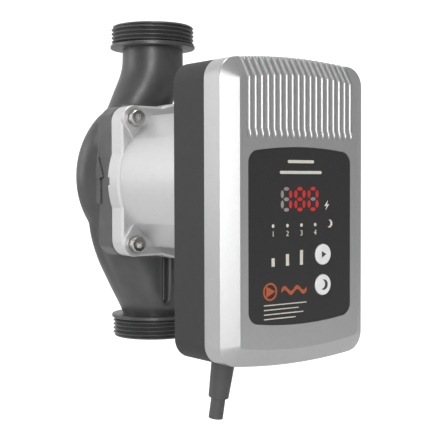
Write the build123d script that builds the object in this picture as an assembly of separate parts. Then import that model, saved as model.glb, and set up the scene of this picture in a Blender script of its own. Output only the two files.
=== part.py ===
from build123d import *
import math
import os

# Canned-rotor circulator pump for a heating circuit.  Millimetres, +Z up along the
# port axis, origin at the centre of the inlet face.  The motor axis runs along Y and
# the control box is at the -Y end, so "ahead" below means a distance towards -Y.

# ---- ports ----
PORT_LENGTH = 180.0           # face to face, a standard installation length
THREAD_R = 23.9               # G 1 1/2 major radius, modelled as a plain cylinder
THREAD_LEN = 10.5
THREAD_CHAMFER = 1.0
COLLAR_R = 24.5
COLLAR_T = 2.4
NECK_R = 17.6
BORE_R = 14.5                 # water way in both ports
INLET_STRAIGHT = 24.0         # length of the round bore before the passages turn
OUTLET_STRAIGHT = 32.0

# ---- joint between pump and motor ----
JOINT_AHEAD = 21.2            # joint face, ahead of the port axis
FLANGE_SIDE = 82.0
FLANGE_CORNER_R = 9.0
FLANGE_DISC_R = 43.5
HOUSING_FLANGE_T = 13.2
MOTOR_FLANGE_T = 10.3
FLANGE_EDGE = 1.2             # chamfer on the motor flange's front edge
BOLT_SPACING = 68.0           # square pattern
BOLT_R = 2.5                  # M5
BOLT_HEAD_R = 4.25
BOLT_HEAD_H = 5.0
BOLT_SOCKET_AF = 4.0
BOLT_REACH = 10.5             # thread engaged in the pump housing
BOLT_HOLE_SPARE = 1.0         # hole left beyond the bolt's end
BOLT_CLEARANCE = 0.25
LUG_R = 6.9
LUG_H = 1.8
LUG_EDGE = 0.4
SEAT_DEPTH = 0.6
SEAT_CLEARANCE = 0.9          # spot face round a bolt head
DRAIN_SIZE = (4.0, 1.6, 4.4)  # inwards, ahead, up

# ---- pump chamber ----
VOLUTE_R = 46.8
VOLUTE_BACK = 22.0            # rear of the volute behind the port axis
VOLUTE_WIDEST = 2.0           # where it is widest, behind the port axis
VOLUTE_ROOT = 5.8             # how much smaller its radius is at the flange
VOLUTE_BEND = (4.8, 14.0)     # radius lost, and place behind the port axis
VOLUTE_CROWN = (22.0, 0.4)    # radius lost, and distance short of the rear
SHOULDER = (38.5, 20.0, 2.0)  # oval where a neck joins the volute: half width, half depth, y
SHOULDER_RISE = 26.0          # from the motor axis
WAIST = (27.5, 18.6, 1.0)     # oval half way along a neck
WAIST_DROP = 52.0             # lower neck's waist below the motor axis
WAIST_RISE = 44.0             # upper neck's waist above it
UPPER_NECK = 22.0             # round stretch below the outlet face
CASTING_WALL = 3.4
IMPELLER_R = 29.0
CHAMBER_GAP = 2.0             # impeller rim to chamber wall
CHANNEL_MID_R = 34.0
CHANNEL_R = 5.5
CHANNEL_SET = 0.5             # channel's middle ahead of the chamber's back wall
EYE_R = 12.0
NECK_RING_T = 2.0
NECK_RING_L = 4.0
SUCTION_DEPTH = 8.5           # half depth of the passage behind the chamber
SUCTION_HALF = (21.0, 16.0)   # its half width at the bottom and at the top
SUCTION_LOW = 36.0            # its wide place below the motor axis
SUCTION_HIGH = 12.0           # its end above the motor axis
MOUTH_HALF = 14.0             # half width of the channel's way out
MOUTH_OVERLAP = 2.0
RUNNING_GAP = 0.05            # radial clearance in bearings and neck ring

# ---- impeller ----
SHROUD_T = 1.4
IMPELLER_GAP = 1.0            # axial gap at each side of the impeller
HUB_WALL = 3.0
VANE_COUNT = 6
VANE_T = 1.4
VANE_SWEEP = 18.0             # radius of a vane's curve
VANE_OFFSET = 11.1            # centre of that curve from the axis

# ---- wet end of the motor ----
MOTOR_LENGTH = 66.1           # joint face to the front of the motor housing
SPIGOT_R = 36.0
SPIGOT_FIT = 0.1
SEAL_T = 1.2
SEAL_INNER_GAP = 0.4
PLATE_T = 1.5
CAN_FLANGE_T = 1.3
CAN_R = 17.9
CAN_T = 0.6
CAN_END_T = 1.2
SLEEVE_T = 0.4
ROTOR_GAP = 0.4               # rotor sleeve to can
SHAFT_R = 4.0
BEARING_WALL = 4.0
BEARING_L = 10.0
REAR_BEARING_L = 8.0
BEARING_SET = 0.4             # front bearing's rear face inside its plate
REAR_SET = 1.0                # rear bearing to the can's end
CARRIER_WALL = 2.0
REAR_CARRIER_WALL = 1.4
SHAFT_END = 2.0               # shaft's front end to the can's end
SHAFT_BACK = 1.5              # shaft's rear end ahead of the chamber's back wall
VENT_R = 1.5
VENT_RADIUS = 12.8
THRUST_GAP = 0.4
THRUST_ROOM = 3.4             # front bearing to rotor
ROTOR_CAP_T = 0.6             # sleeve's end walls

# ---- stator and motor housing ----
MOTOR_R = 42.0
MOTOR_FLAT = 36.0             # top and bottom flats, from the motor axis
MOTOR_FACET = 58.0            # sum of x and z along the diagonal facets
MOTOR_END_WALL = 3.0
STATOR_R = 32.0
STATOR_SET = 0.7              # stator's rear end ahead of the rotor's
STATOR_BACK_IRON = 4.6
CAN_END_ROOM = 3.3            # can's end to the housing's end wall
REAR_ROOM = 13.0              # stator to the can's end
SHOE_GAP = 0.4
SHOE_T = 2.3
SHOE_OPENING = 3.0
TOOTH_COUNT = 6
TOOTH_W = 8.0
COIL_SIDE = 5.4               # width of a coil beside its tooth
COIL_GAP = 0.4
COIL_FIT = 0.2
COIL_OVERHANG = 5.0
LEAD_SLOT = (14.0, 6.0)
LEAD_RISE = 24.0              # leads above the motor axis
LEAD_X = (-4.0, 0.0, 4.0)
LEAD_R = 0.9
CONNECTOR = (17.0, 7.0, 5.0)  # width, height, depth

# ---- control box; heights are above its lowest edge ----
BOX_WIDTH = 91.8
BOX_HEIGHT = 149.2
BOX_DROP = 89.7               # its lowest edge below the motor axis
BOX_CROWN = 3.2               # rise of the curved top and bottom edges
BOX_CORNER_R = 10.0
INNER_CORNER_R = 1.2          # smallest corner inside
CASE_DEPTH = 25.5
COVER_BAND = 11.8
COVER_CHAMFER = (8.2, 5.1)    # across the front, into the depth
COVER_EDGES = (0.5, 0.35)     # rounding outside and inside that chamfer
CASE_EDGE = 1.0               # rounding of the case's back edge
BOX_WALL = 2.5
FRONT_WALL = 3.0
CAVITY_STEP = 1.8             # cover's straight inside wall ends short of its band
CAVITY_INSET = 9.2
FLUTE_COUNT = 18
FLUTE_PITCH = 3.82
FLUTE_R = 1.8
FLUTE_DEPTH = 1.5
FLUTE_LOW = 109.4
FLUTE_RAMP = 5.0
FLUTE_TURN = 0.4              # where a flute turns down the top chamfer
BOSS_INSET = (8.3, 11.7)      # from the side, from the top or bottom
BOSS_R = 4.0
GASKET_T = 0.8
GASKET_EDGES = (0.875, 1.875) # its outer and inner edges, from the outside
COVER_SCREW_R = 1.5
COVER_SCREW_GRIP = 7.6
COVER_HEAD = (2.8, 2.2)       # radius, height
CROSS_SLOT = (3.0, 0.7, 1.2)  # length, width, depth
HEAD_RECESS = (3.0, 2.4)
BOX_SCREW_R = 2.0
BOX_SCREW_RADIUS = 36.5
BOX_SCREW_HEAD = (3.6, 2.8)
BOX_SCREW_LENGTH = 11.6
BOX_SCREW_HOLE = 10.0
BOX_SCREW_AF = 2.5
SCREW_CLEARANCE = 0.2

# ---- panel, display and buttons; heights are above the box's lowest edge ----
PANEL_WIDTH = 65.6
PANEL_LOW = 20.1
PANEL_HIGH = 105.5
PANEL_CROWN = 2.6
PANEL_CORNER_R = 6.0
PANEL_T = 0.7
PANEL_SUNK = 0.2
PANEL_FIT = 0.15
DIGIT_X = (-9.3, -0.7, 7.9)
DIGIT_Z = 80.5
DIGIT_W = 7.2
DIGIT_H = 11.8
FLAT_SEGMENT = (3.3, 1.8)     # lens-shaped windows: width, height
TALL_SEGMENT = (1.95, 3.7)
TALL_RISE = 2.45              # tall windows above and below the digit's middle
DIGITS_LIT = ((1, 2), (0, 1, 2, 3, 4, 5, 6), (0, 1, 2, 3, 4, 5))
DISPLAY_WINDOW = (28.0, 15.0)
MODE_X = (-17.7, -8.7, 0.3, 9.3)
MODE_Z = 67.9
MODE_R = 0.85
SPEED_BARS = ((-17.7, 4.0), (-8.7, 5.6), (0.3, 7.2))
SPEED_LOW = 48.6
SPEED_W = 2.0
NIGHT_MARK = (18.9, 68.2)
MOON_R = 2.0
UNIT_MARK = (17.0, 77.3)
UNIT_FLASH = [(0.9, 2.6), (-1.7, -0.4), (-0.2, -0.4), (-0.9, -2.6), (1.7, 0.5), (0.2, 0.5)]
GUIDE_MARGIN = 0.5            # light guide wider than a mode window
SPEED_GUIDE_R = 1.6
BUTTON_X = 14.4
BUTTON_Z = (53.1, 38.1)
BUTTON_R = 5.1
BUTTON_GAP = 0.3
BUTTON_PROUD = 0.5
BUTTON_T = 1.3
BUTTON_EDGE = 0.25
BUTTON_TRAVEL = 0.6
BUTTON_FLOOR = 0.2            # left under a button at the end of its travel
STEM_R = 2.2
STEM_GAP = 0.15               # left over the switch at the end of the travel
ICON_T = 0.15
PLAY_SIZE = 2.5
MOON_ICON_R = 2.6
MOON_ICON_SHIFT = 0.3

# ---- boards, display parts and what is on them ----
BOARD_T = 1.6
BOARD_CORNER_R = 3.0
POWER_BOARD_SET = 10.7        # ahead of the box's back
POWER_BOARD_MARGIN = (5.9, 30.7, 8.5)      # to the box's side, lowest edge and top
STANDOFF_INSET = (11.9, 51.7, 23.5)        # from the side; up from the bottom; down from the top
STANDOFF_R = 3.2
SMALL_SCREW_R = 1.3
SMALL_SCREW_HEAD = (2.7, 1.8)
SMALL_SCREW_AF = 1.5
BOARD_SCREW_LENGTH = 7.0
CAPACITOR = (8.0, 16.0)       # radius, length
CAPACITOR_X = (-13.0, 6.0)
CAPACITOR_DROP = 31.5         # below the box's top
CHOKE = (9.0, 4.2, 8.0)       # outer radius, inner radius, length
CHOKE_PLACE = (24.0, 49.5)    # x, below the box's top
MODULE = (30.0, 16.0, 4.6)    # width, height, depth
MODULE_DROP = 4.0             # below the motor axis
CHIP = (12.0, 1.4)
CHIP_PLACE = (-20.0, 69.7)
HEADER = (16.0, 5.0)
HEADER_PLACE = (-14.0, 87.7)
DISPLAY_BOARD = (58.0, 29.7, 95.7)         # width, lowest edge, highest edge
DISPLAY_BOARD_SET = 10.7      # behind the front
DISPLAY_POST_X = 26.0
DISPLAY_POST_Z = (33.7, 91.7)
DISPLAY_POST_R = 2.4
DISPLAY_SCREW_R = 1.0
DISPLAY_HEAD = (2.2, 1.6)
DISPLAY_GRIP = 4.6
DISPLAY_GAP = 0.3             # round the display module
LED = (2.4, 1.6, 1.4)
GUIDE_GAP = 0.2               # LED to light guide
GUIDE_FIT = 0.1
SWITCH = (6.0, 3.2)           # side, height
PLUNGER = (1.7, 1.0)          # radius, height

# ---- cable, strain relief, clamp and terminals ----
CABLE_R = 3.6
CABLE_SIDE_GAP = 0.527        # clamp to the cover screw's boss beside it
CABLE_SET = 13.7              # exit ahead of the box's back
CABLE_DROP = 0.3              # exit below the box's lowest edge
CABLE_LEAN = (-1.5, 1.9, -17.3)
CABLE_INSIDE = 20.5
CABLE_OUTSIDE = 27.9
RELIEF_WALL = (2.3, 1.45)     # inside the box, at the tip
RELIEF_OUTSIDE = 17.5
RELIEF_INSIDE = 9.0
RELIEF_LIP = (1.6, 3.0)       # wider by, long
CORE_R = 0.95
CORE_SPACING = 2.3
CORE_START = 0.45             # above the end of the sheath
CORE_DEPTH = 5.0              # into the terminal block
CLAMP_Z = 12.7                # above the box's lowest edge
CLAMP_REACH = 2.3             # screw axis beyond the cable's side
CLAMP_MARGIN = 2.3
CLAMP_PAD = 7.0               # height of the pad under the cable
CLAMP_BAR = (6.0, 7.6)        # height, depth
CLAMP_SEAT = 12.1             # pad's front, ahead of the box's back
CLAMP_GAP = 0.6
CLAMP_SCREW_LENGTH = 14.0
CLAMP_SCREW_GRIP = 7.0
TERMINAL = (24.0, 12.0, 9.6)  # width, height, depth
TERMINAL_Z = 38.7
TERMINAL_PITCH = 7.0
TERMINAL_WELL = (2.0, 3.2)    # radius, depth
TERMINAL_SCREW = (1.9, 2.0)   # radius, length
TERMINAL_SLOT = (0.6, 0.8)    # width, depth
TERMINAL_RISE = 1.0           # screws above the block's middle

# ---- derived places ----
MOTOR_Z = PORT_LENGTH / 2
CHAMBER_BACK = JOINT_AHEAD - HOUSING_FLANGE_T
FLANGE_FRONT = JOINT_AHEAD + MOTOR_FLANGE_T
LUG_FRONT = FLANGE_FRONT + LUG_H
BOLT_SEAT = LUG_FRONT - SEAT_DEPTH
PLATE_START = JOINT_AHEAD - CAN_FLANGE_T - PLATE_T
SEAL_START = PLATE_START - SEAL_T
CAN_START = PLATE_START + PLATE_T
BEARING_R = SHAFT_R + BEARING_WALL
ROTOR_R = CAN_R - CAN_T - ROTOR_GAP - SLEEVE_T
ROTOR_START = CAN_START + BEARING_L + THRUST_ROOM
STATOR_START = ROTOR_START + STATOR_SET
BOX_BACK = JOINT_AHEAD + MOTOR_LENGTH
CAN_END = BOX_BACK - MOTOR_END_WALL - CAN_END_ROOM
STATOR_END = CAN_END - REAR_ROOM
SHOE_R = CAN_R + SHOE_GAP
SLOT_IN = SHOE_R + SHOE_T
SLOT_OUT = STATOR_R - STATOR_BACK_IRON
LEAD_Z = MOTOR_Z + LEAD_RISE

BOX_LOW = MOTOR_Z - BOX_DROP
BOX_TOP = BOX_LOW + BOX_HEIGHT
CASE_FRONT = BOX_BACK + CASE_DEPTH
BAND_FRONT = CASE_FRONT + COVER_BAND
FRONT = BAND_FRONT + COVER_CHAMFER[1]
WALL_BACK = FRONT - FRONT_WALL
PANEL_FRONT = FRONT - PANEL_SUNK
PANEL_BACK = PANEL_FRONT - PANEL_T
BUTTON_FRONT = PANEL_FRONT + BUTTON_PROUD
BUTTON_POCKET = BUTTON_FRONT - BUTTON_T - BUTTON_TRAVEL - BUTTON_FLOOR
POWER_BOARD_BACK = BOX_BACK + POWER_BOARD_SET
POWER_BOARD_FRONT = POWER_BOARD_BACK + BOARD_T
DISPLAY_BACK = FRONT - DISPLAY_BOARD_SET
DISPLAY_FRONT = DISPLAY_BACK + BOARD_T
CLAMP_BACK = BOX_BACK + CLAMP_SEAT


def corners(half_width, low, high):
    """Four places, mirrored left and right, at two heights."""
    return [(side * half_width, z) for side in (-1, 1) for z in (low, high)]


def square(half):
    """Four places at the corners of a square about the motor axis."""
    return corners(half, MOTOR_Z - half, MOTOR_Z + half)


BOLT_PLACES = square(BOLT_SPACING / 2)
BOX_SCREW_PLACES = square(BOX_SCREW_RADIUS / math.sqrt(2))
BOSS_PLACES = corners(BOX_WIDTH / 2 - BOSS_INSET[0], BOX_LOW + BOSS_INSET[1], BOX_TOP - BOSS_INSET[1])
STANDOFF_PLACES = corners(
    BOX_WIDTH / 2 - STANDOFF_INSET[0], BOX_LOW + STANDOFF_INSET[1], BOX_TOP - STANDOFF_INSET[2]
)
POST_PLACES = corners(DISPLAY_POST_X, BOX_LOW + DISPLAY_POST_Z[0], BOX_LOW + DISPLAY_POST_Z[1])
LEAN = Vector(*CABLE_LEAN).normalized()
CLAMP_SHIFT = CABLE_LEAN[0] / CABLE_LEAN[2] * (CLAMP_Z + CABLE_DROP)
CLAMP_HALF = CABLE_R + CLAMP_REACH
BOSS_SIDE = BOX_WIDTH / 2 - BOSS_INSET[0] - BOSS_R
CABLE_X = CLAMP_HALF + CLAMP_MARGIN + CABLE_SIDE_GAP - CLAMP_SHIFT - BOSS_SIDE
EXIT = Vector(CABLE_X, -(BOX_BACK + CABLE_SET), BOX_LOW - CABLE_DROP)


def cable_axis(distance):
    """Point on the cable's axis, measured outwards from the exit."""
    return EXIT + LEAN * distance


CABLE_START = cable_axis(-CABLE_INSIDE)
TERMINAL_LOW = BOX_LOW + TERMINAL_Z - TERMINAL[1] / 2
TERMINAL_MID = BOX_LOW + TERMINAL_Z
CORE_PLACES = [CABLE_START.X + step * CORE_SPACING for step in (-1, 0, 1)]
TERMINAL_PLACES = [CABLE_START.X + step * TERMINAL_PITCH for step in (-1, 0, 1)]
CLAMP_MID = EXIT.X + CLAMP_SHIFT
CLAMP_PLACES = [(CLAMP_MID + side * CLAMP_HALF, BOX_LOW + CLAMP_Z) for side in (-1, 1)]
CLAMP_WIDTH = 2 * (CLAMP_HALF + CLAMP_MARGIN)


# ---- small helpers ----
def ahead(distance):
    """Plane across the motor axis; its local x and y are the model's X and Z."""
    return Plane(origin=(0, -distance, 0), x_dir=(1, 0, 0), z_dir=(0, -1, 0))


def slab(outline, start, end):
    """Solid from an X-Z outline, between two distances ahead of the port axis."""
    return extrude(ahead(start) * outline, amount=end - start)


def rod(radius, start, end, x=0.0, z=MOTOR_Z):
    return slab(Pos(x, z) * Circle(radius), start, end)


def tube(outer, inner, start, end, x=0.0, z=MOTOR_Z):
    return rod(outer, start, end, x, z) - rod(inner, start, end, x, z)


def block(width, height, start, end, x=0.0, z=MOTOR_Z):
    return slab(Pos(x, z) * Rectangle(width, height), start, end)


def upright(radius, low, high):
    """Cylinder on the port axis between two heights."""
    return extrude(Plane.XY.offset(low) * Circle(radius), amount=high - low)


def bar(start, end, radius, end_radius=None):
    """Round bar or cone between two points."""
    a, b = Vector(start), Vector(end)
    plane = Plane(origin=a, z_dir=b - a)
    if end_radius is None:
        return extrude(plane * Circle(radius), amount=(b - a).length)
    far = Plane(origin=b, x_dir=plane.x_dir, z_dir=b - a)
    return loft([plane * Circle(radius), far * Circle(end_radius)])


def group(solids):
    """Several separate solids kept together as one node."""
    return Compound(children=[s.solid() if hasattr(s, "solid") else s for s in solids])


def oval_stack(levels):
    """Loft through upright ovals given as (z, half width, half depth, y)."""
    return loft([Plane.XY.offset(z) * Pos(0, y) * Ellipse(rx, ry) for z, rx, ry, y in levels])


def crowned_outline(width, low, high, crown, corner):
    """Rounded rectangle with gently arched top and bottom edges."""
    half = width / 2
    top = ThreePointArc((-half, high - crown), (0, high), (half, high - crown))
    right = Line((half, high - crown), (half, low + crown))
    bottom = ThreePointArc((half, low + crown), (0, low), (-half, low + crown))
    left = Line((-half, low + crown), (-half, high - crown))
    face = make_face(Curve() + [top, right, bottom, left])
    return fillet(face.vertices(), corner)


def box_outline(inset=0.0):
    corner = max(BOX_CORNER_R - inset, INNER_CORNER_R)
    return crowned_outline(BOX_WIDTH - 2 * inset, BOX_LOW + inset, BOX_TOP - inset, BOX_CROWN, corner)


def panel_outline(grow=0.0):
    low, high = BOX_LOW + PANEL_LOW - grow, BOX_LOW + PANEL_HIGH + grow
    return crowned_outline(PANEL_WIDTH + 2 * grow, low, high, PANEL_CROWN, PANEL_CORNER_R + grow)


def gasket_ring():
    outer, inner = GASKET_EDGES
    return slab(box_outline(outer) - box_outline(inner), CASE_FRONT, CASE_FRONT + GASKET_T)


def flange_outline():
    plate = RectangleRounded(FLANGE_SIDE, FLANGE_SIDE, FLANGE_CORNER_R)
    return Pos(0, MOTOR_Z) * (plate + Circle(FLANGE_DISC_R))


def socket_screw(x, z, seat, head, shank_r, length, socket_af):
    """Cap screw pointing away from the front: head ahead of its seat, shank behind."""
    head_r, head_h = head
    cap = rod(head_r, seat, seat + head_h, x, z)
    cap = chamfer(cap.edges().group_by(Axis.Y)[0], head_h * 0.08)
    socket = Pos(x, z) * RegularPolygon(socket_af / 2, 6, major_radius=False)
    cap -= slab(socket, seat + head_h * 0.45, seat + head_h)
    return cap + rod(shank_r, seat - length, seat, x, z)


def small_screw(x, z, seat, length):
    return socket_screw(x, z, seat, SMALL_SCREW_HEAD, SMALL_SCREW_R, length, SMALL_SCREW_AF)


# ---- pump end ----
def volute():
    """The scroll casing, spun round the motor axis."""
    bend, bend_y = VOLUTE_BEND
    crown, short = VOLUTE_CROWN
    root = (VOLUTE_R - VOLUTE_ROOT, -CHAMBER_BACK)
    rear = (0, VOLUTE_BACK)
    rim = Spline(
        root,
        (VOLUTE_R, VOLUTE_WIDEST),
        (VOLUTE_R - bend, bend_y),
        (VOLUTE_R - crown, VOLUTE_BACK - short),
        rear,
    )
    edges = [Line((0, -CHAMBER_BACK), root), rim, Line(rear, (0, -CHAMBER_BACK))]
    profile = make_face(Curve() + edges)
    return Pos(0, 0, MOTOR_Z) * revolve(Plane.XY * profile, axis=Axis.Y)


def port(low, outer_edge):
    """Threaded end of a neck; outer_edge is 0 for its lower rim and -1 for its upper rim."""
    thread = upright(THREAD_R, low, low + THREAD_LEN)
    rims = thread.edges().filter_by(GeomType.CIRCLE).sort_by(Axis.Z)
    return chamfer(rims[outer_edge], THREAD_CHAMFER)


def pump_housing():
    top = PORT_LENGTH
    collar_end = THREAD_LEN + COLLAR_T
    body = upright(NECK_R, THREAD_LEN, top - THREAD_LEN)
    body += port(0.0, 0) + port(top - THREAD_LEN, -1)
    body += upright(COLLAR_R, THREAD_LEN, collar_end)
    body += upright(COLLAR_R, top - collar_end, top - THREAD_LEN)
    round_neck = (NECK_R, NECK_R, 0)
    shoulder_low, shoulder_high = MOTOR_Z - SHOULDER_RISE, MOTOR_Z + SHOULDER_RISE
    lower = [(collar_end, *round_neck), (MOTOR_Z - WAIST_DROP, *WAIST), (shoulder_low, *SHOULDER)]
    upper = [(shoulder_high, *SHOULDER), (MOTOR_Z + WAIST_RISE, *WAIST), (top - UPPER_NECK, *round_neck)]
    body += oval_stack(lower) + oval_stack(upper)
    body += volute()
    body += slab(flange_outline(), CHAMBER_BACK, JOINT_AHEAD)
    body -= water_way()
    for x, z in BOLT_PLACES:
        body -= rod(BOLT_R, JOINT_AHEAD - BOLT_REACH - BOLT_HOLE_SPARE, JOINT_AHEAD, x, z)
    return body


def water_way():
    """Everything that is hollow inside the casting."""
    cut = rod(IMPELLER_R + CHAMBER_GAP, CHAMBER_BACK, JOINT_AHEAD)
    cut += rod(SPIGOT_R, SEAL_START, JOINT_AHEAD)
    channel_y = -(CHAMBER_BACK + CHANNEL_SET)
    cut += Pos(0, channel_y, MOTOR_Z) * Torus(CHANNEL_MID_R, CHANNEL_R, rotation=(90, 0, 0))
    cut += upright(BORE_R, 0.0, INLET_STRAIGHT)
    suction_y = VOLUTE_BACK - CASTING_WALL - SUCTION_DEPTH
    suction = [
        (INLET_STRAIGHT, BORE_R, BORE_R, 0),
        (MOTOR_Z - SUCTION_LOW, SUCTION_HALF[0], SUCTION_DEPTH, suction_y),
        (MOTOR_Z + SUCTION_HIGH, SUCTION_HALF[1], SUCTION_DEPTH, suction_y),
    ]
    cut += oval_stack(suction)
    cut += rod(EYE_R + NECK_RING_T, -suction_y, CHAMBER_BACK)
    outlet_z = PORT_LENGTH - OUTLET_STRAIGHT
    mouth_z = MOTOR_Z + CHANNEL_MID_R - MOUTH_OVERLAP
    cut += upright(BORE_R, outlet_z, PORT_LENGTH)
    return cut + oval_stack([(mouth_z, MOUTH_HALF, CHANNEL_R, channel_y), (outlet_z, BORE_R, BORE_R, 0)])


def neck_ring():
    return tube(EYE_R + NECK_RING_T, EYE_R + NECK_RING_T / 2, CHAMBER_BACK - NECK_RING_L, CHAMBER_BACK)


def impeller():
    """Shrouded wheel with a neck that runs in the neck ring, and curved vanes."""
    start, end = CHAMBER_BACK + IMPELLER_GAP, PLATE_START - IMPELLER_GAP
    eye = EYE_R - 1.0
    wheel = tube(IMPELLER_R, eye, start, start + SHROUD_T)
    neck_r = EYE_R + NECK_RING_T / 2 - RUNNING_GAP
    wheel += tube(neck_r, eye, CHAMBER_BACK - NECK_RING_L + 0.4, start + SHROUD_T)
    wheel += rod(IMPELLER_R, end - SHROUD_T, end)
    wheel += rod(SHAFT_R + HUB_WALL, start, end)
    band = Pos(VANE_OFFSET, 0) * (Circle(VANE_SWEEP) - Circle(VANE_SWEEP - VANE_T))
    upper_half = Pos(0, IMPELLER_R) * Rectangle(4 * IMPELLER_R, 2 * IMPELLER_R)
    vane = (band & upper_half) & (Circle(IMPELLER_R - 0.2) - Circle(eye - 0.5))
    for turn in range(VANE_COUNT):
        spin = Pos(0, MOTOR_Z) * Rot(0, 0, turn * 360 / VANE_COUNT)
        wheel += slab(spin * vane, start + SHROUD_T / 2, end - SHROUD_T / 2)
    return wheel - rod(SHAFT_R, CHAMBER_BACK, PLATE_START)


# ---- wet end of the motor ----
def housing_seal():
    return tube(SPIGOT_R - SPIGOT_FIT, IMPELLER_R + CHAMBER_GAP + SEAL_INNER_GAP, SEAL_START, PLATE_START)


def bearing_plate():
    plate = tube(SPIGOT_R - SPIGOT_FIT, BEARING_R, PLATE_START, CAN_START)
    plate += tube(BEARING_R + CARRIER_WALL, BEARING_R, CAN_START, CAN_START + BEARING_L)
    for x, z in square(VENT_RADIUS / math.sqrt(2)):
        plate -= rod(VENT_R, PLATE_START, CAN_START, x, z)
    return plate


def front_bearing():
    return tube(BEARING_R, SHAFT_R + RUNNING_GAP, PLATE_START + BEARING_SET, CAN_START + BEARING_L)


def separation_can():
    """Thin dry wall between rotor and stator, closed at its front end."""
    inner = CAN_R - CAN_T
    can = tube(SPIGOT_R - SPIGOT_FIT, inner, CAN_START, JOINT_AHEAD)
    can += tube(CAN_R, inner, CAN_START, CAN_END)
    can += rod(CAN_R, CAN_END, CAN_END + CAN_END_T)
    carrier_start = CAN_END - REAR_BEARING_L - REAR_SET
    return can + tube(BEARING_R + REAR_CARRIER_WALL, BEARING_R, carrier_start, CAN_END)


def rear_bearing():
    end = CAN_END - REAR_SET
    return tube(BEARING_R, SHAFT_R + RUNNING_GAP, end - REAR_BEARING_L, end)


def rotor_shaft():
    return rod(SHAFT_R, CHAMBER_BACK + SHAFT_BACK, CAN_END - SHAFT_END)


def thrust_washer():
    start = CAN_START + BEARING_L + THRUST_GAP
    return tube(BEARING_R + 1.0, SHAFT_R, start, ROTOR_START - ROTOR_CAP_T)


def rotor_core():
    return tube(ROTOR_R, SHAFT_R, ROTOR_START, STATOR_END)


def rotor_sleeve():
    """Thin shell that closes the magnet in, on every side."""
    shell = rod(ROTOR_R + SLEEVE_T, ROTOR_START - ROTOR_CAP_T, STATOR_END + ROTOR_CAP_T)
    shell -= rod(ROTOR_R, ROTOR_START, STATOR_END)
    return shell - rod(SHAFT_R, ROTOR_START - 1, STATOR_END + 1)


# ---- dry end of the motor ----
def stator_core():
    """Laminated ring with teeth that end in shoes round the can."""
    core = Circle(STATOR_R) - Circle(SLOT_OUT) + (Circle(SLOT_IN) - Circle(SHOE_R))
    pitch = 360 / TOOTH_COUNT
    for turn in range(TOOTH_COUNT):
        tooth = Pos((SHOE_R + STATOR_R) / 2, 0) * Rectangle(STATOR_R - SHOE_R - 3.0, TOOTH_W)
        core += Rot(0, 0, turn * pitch) * tooth
    for turn in range(TOOTH_COUNT):
        gap = Pos((SHOE_R + SLOT_IN) / 2, 0) * Rectangle(SHOE_T + 0.8, SHOE_OPENING)
        core -= Rot(0, 0, (turn + 0.5) * pitch) * gap
    return slab(Pos(0, MOTOR_Z) * core, STATOR_START, STATOR_END)


def stator_coils():
    """One closed loop round each tooth."""
    reach = TOOTH_W / 2 + COIL_SIDE
    low, high = SLOT_IN + COIL_GAP, math.sqrt((SLOT_OUT - COIL_GAP) ** 2 - reach**2)
    middle = (low + high) / 2
    coils = []
    for turn in range(TOOTH_COUNT):
        spin = Pos(0, MOTOR_Z) * Rot(0, 0, turn * 360 / TOOTH_COUNT)
        outline = spin * Pos(middle, 0) * Rectangle(high - low, 2 * reach)
        window = spin * Pos(middle, 0) * Rectangle(high - low + 1, TOOTH_W + 2 * COIL_FIT)
        loop = slab(outline, STATOR_START - COIL_OVERHANG, STATOR_END + COIL_OVERHANG)
        coils.append(loop - slab(window, STATOR_START - COIL_FIT, STATOR_END + COIL_FIT))
    return group(coils)


def motor_section():
    """Cross-section of the motor body: a disc with flats and diagonal facets."""
    near = MOTOR_FACET - MOTOR_FLAT
    wide = MOTOR_R + 4.0
    slope = MOTOR_FACET - wide
    upper = [(-wide, slope), (-near, MOTOR_FLAT), (near, MOTOR_FLAT), (wide, slope)]
    lower = [(x, -z) for x, z in reversed(upper)]
    return Pos(0, MOTOR_Z) * (Circle(MOTOR_R) & Polygon(*upper, *lower, align=None))


def lug_outline(turn):
    """Raised pad round one bolt: the hull of its disc and the facet's two ends."""
    half = BOLT_SPACING / 2
    near = math.sqrt(MOTOR_R**2 - 0.5 * MOTOR_FACET**2) / math.sqrt(2)
    end_a, end_b = MOTOR_FACET / 2 + near, MOTOR_FACET / 2 - near
    chord = Line((end_a - 1.0, end_b), (end_b, end_a - 1.0))
    hull = make_hull((Pos(half, half) * Circle(LUG_R)).edges() + [chord])
    return Pos(0, MOTOR_Z) * Rot(0, 0, turn * 90) * hull


def motor_housing():
    flange = slab(flange_outline(), JOINT_AHEAD, FLANGE_FRONT)
    flange = chamfer(flange.faces().sort_by(Axis.Y)[0].outer_wire().edges(), FLANGE_EDGE)
    body = flange + slab(motor_section(), FLANGE_FRONT - 1.0, BOX_BACK)
    for turn in range(4):
        lug = slab(lug_outline(turn), FLANGE_FRONT - 1.0, LUG_FRONT)
        body += chamfer(lug.faces().sort_by(Axis.Y)[0].outer_wire().edges(), LUG_EDGE)
    body -= rod(STATOR_R, JOINT_AHEAD, BOX_BACK - MOTOR_END_WALL)
    for x, z in BOLT_PLACES:
        body -= rod(BOLT_R + BOLT_CLEARANCE, JOINT_AHEAD, LUG_FRONT, x, z)
        body -= rod(BOLT_HEAD_R + SEAT_CLEARANCE, BOLT_SEAT, LUG_FRONT + BOLT_HEAD_H, x, z)
    for x, z in BOX_SCREW_PLACES:
        body -= rod(BOX_SCREW_R, BOX_BACK - BOX_SCREW_HOLE, BOX_BACK, x, z)
    body -= block(*LEAD_SLOT, BOX_BACK - MOTOR_END_WALL, BOX_BACK, z=LEAD_Z)
    inwards, deep, tall = DRAIN_SIZE
    for side in (-1, 1):
        x = side * (FLANGE_DISC_R + (1.0 - inwards) / 2)
        body -= block(inwards + 1.0, tall, JOINT_AHEAD, JOINT_AHEAD + deep, x)
    return body


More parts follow.
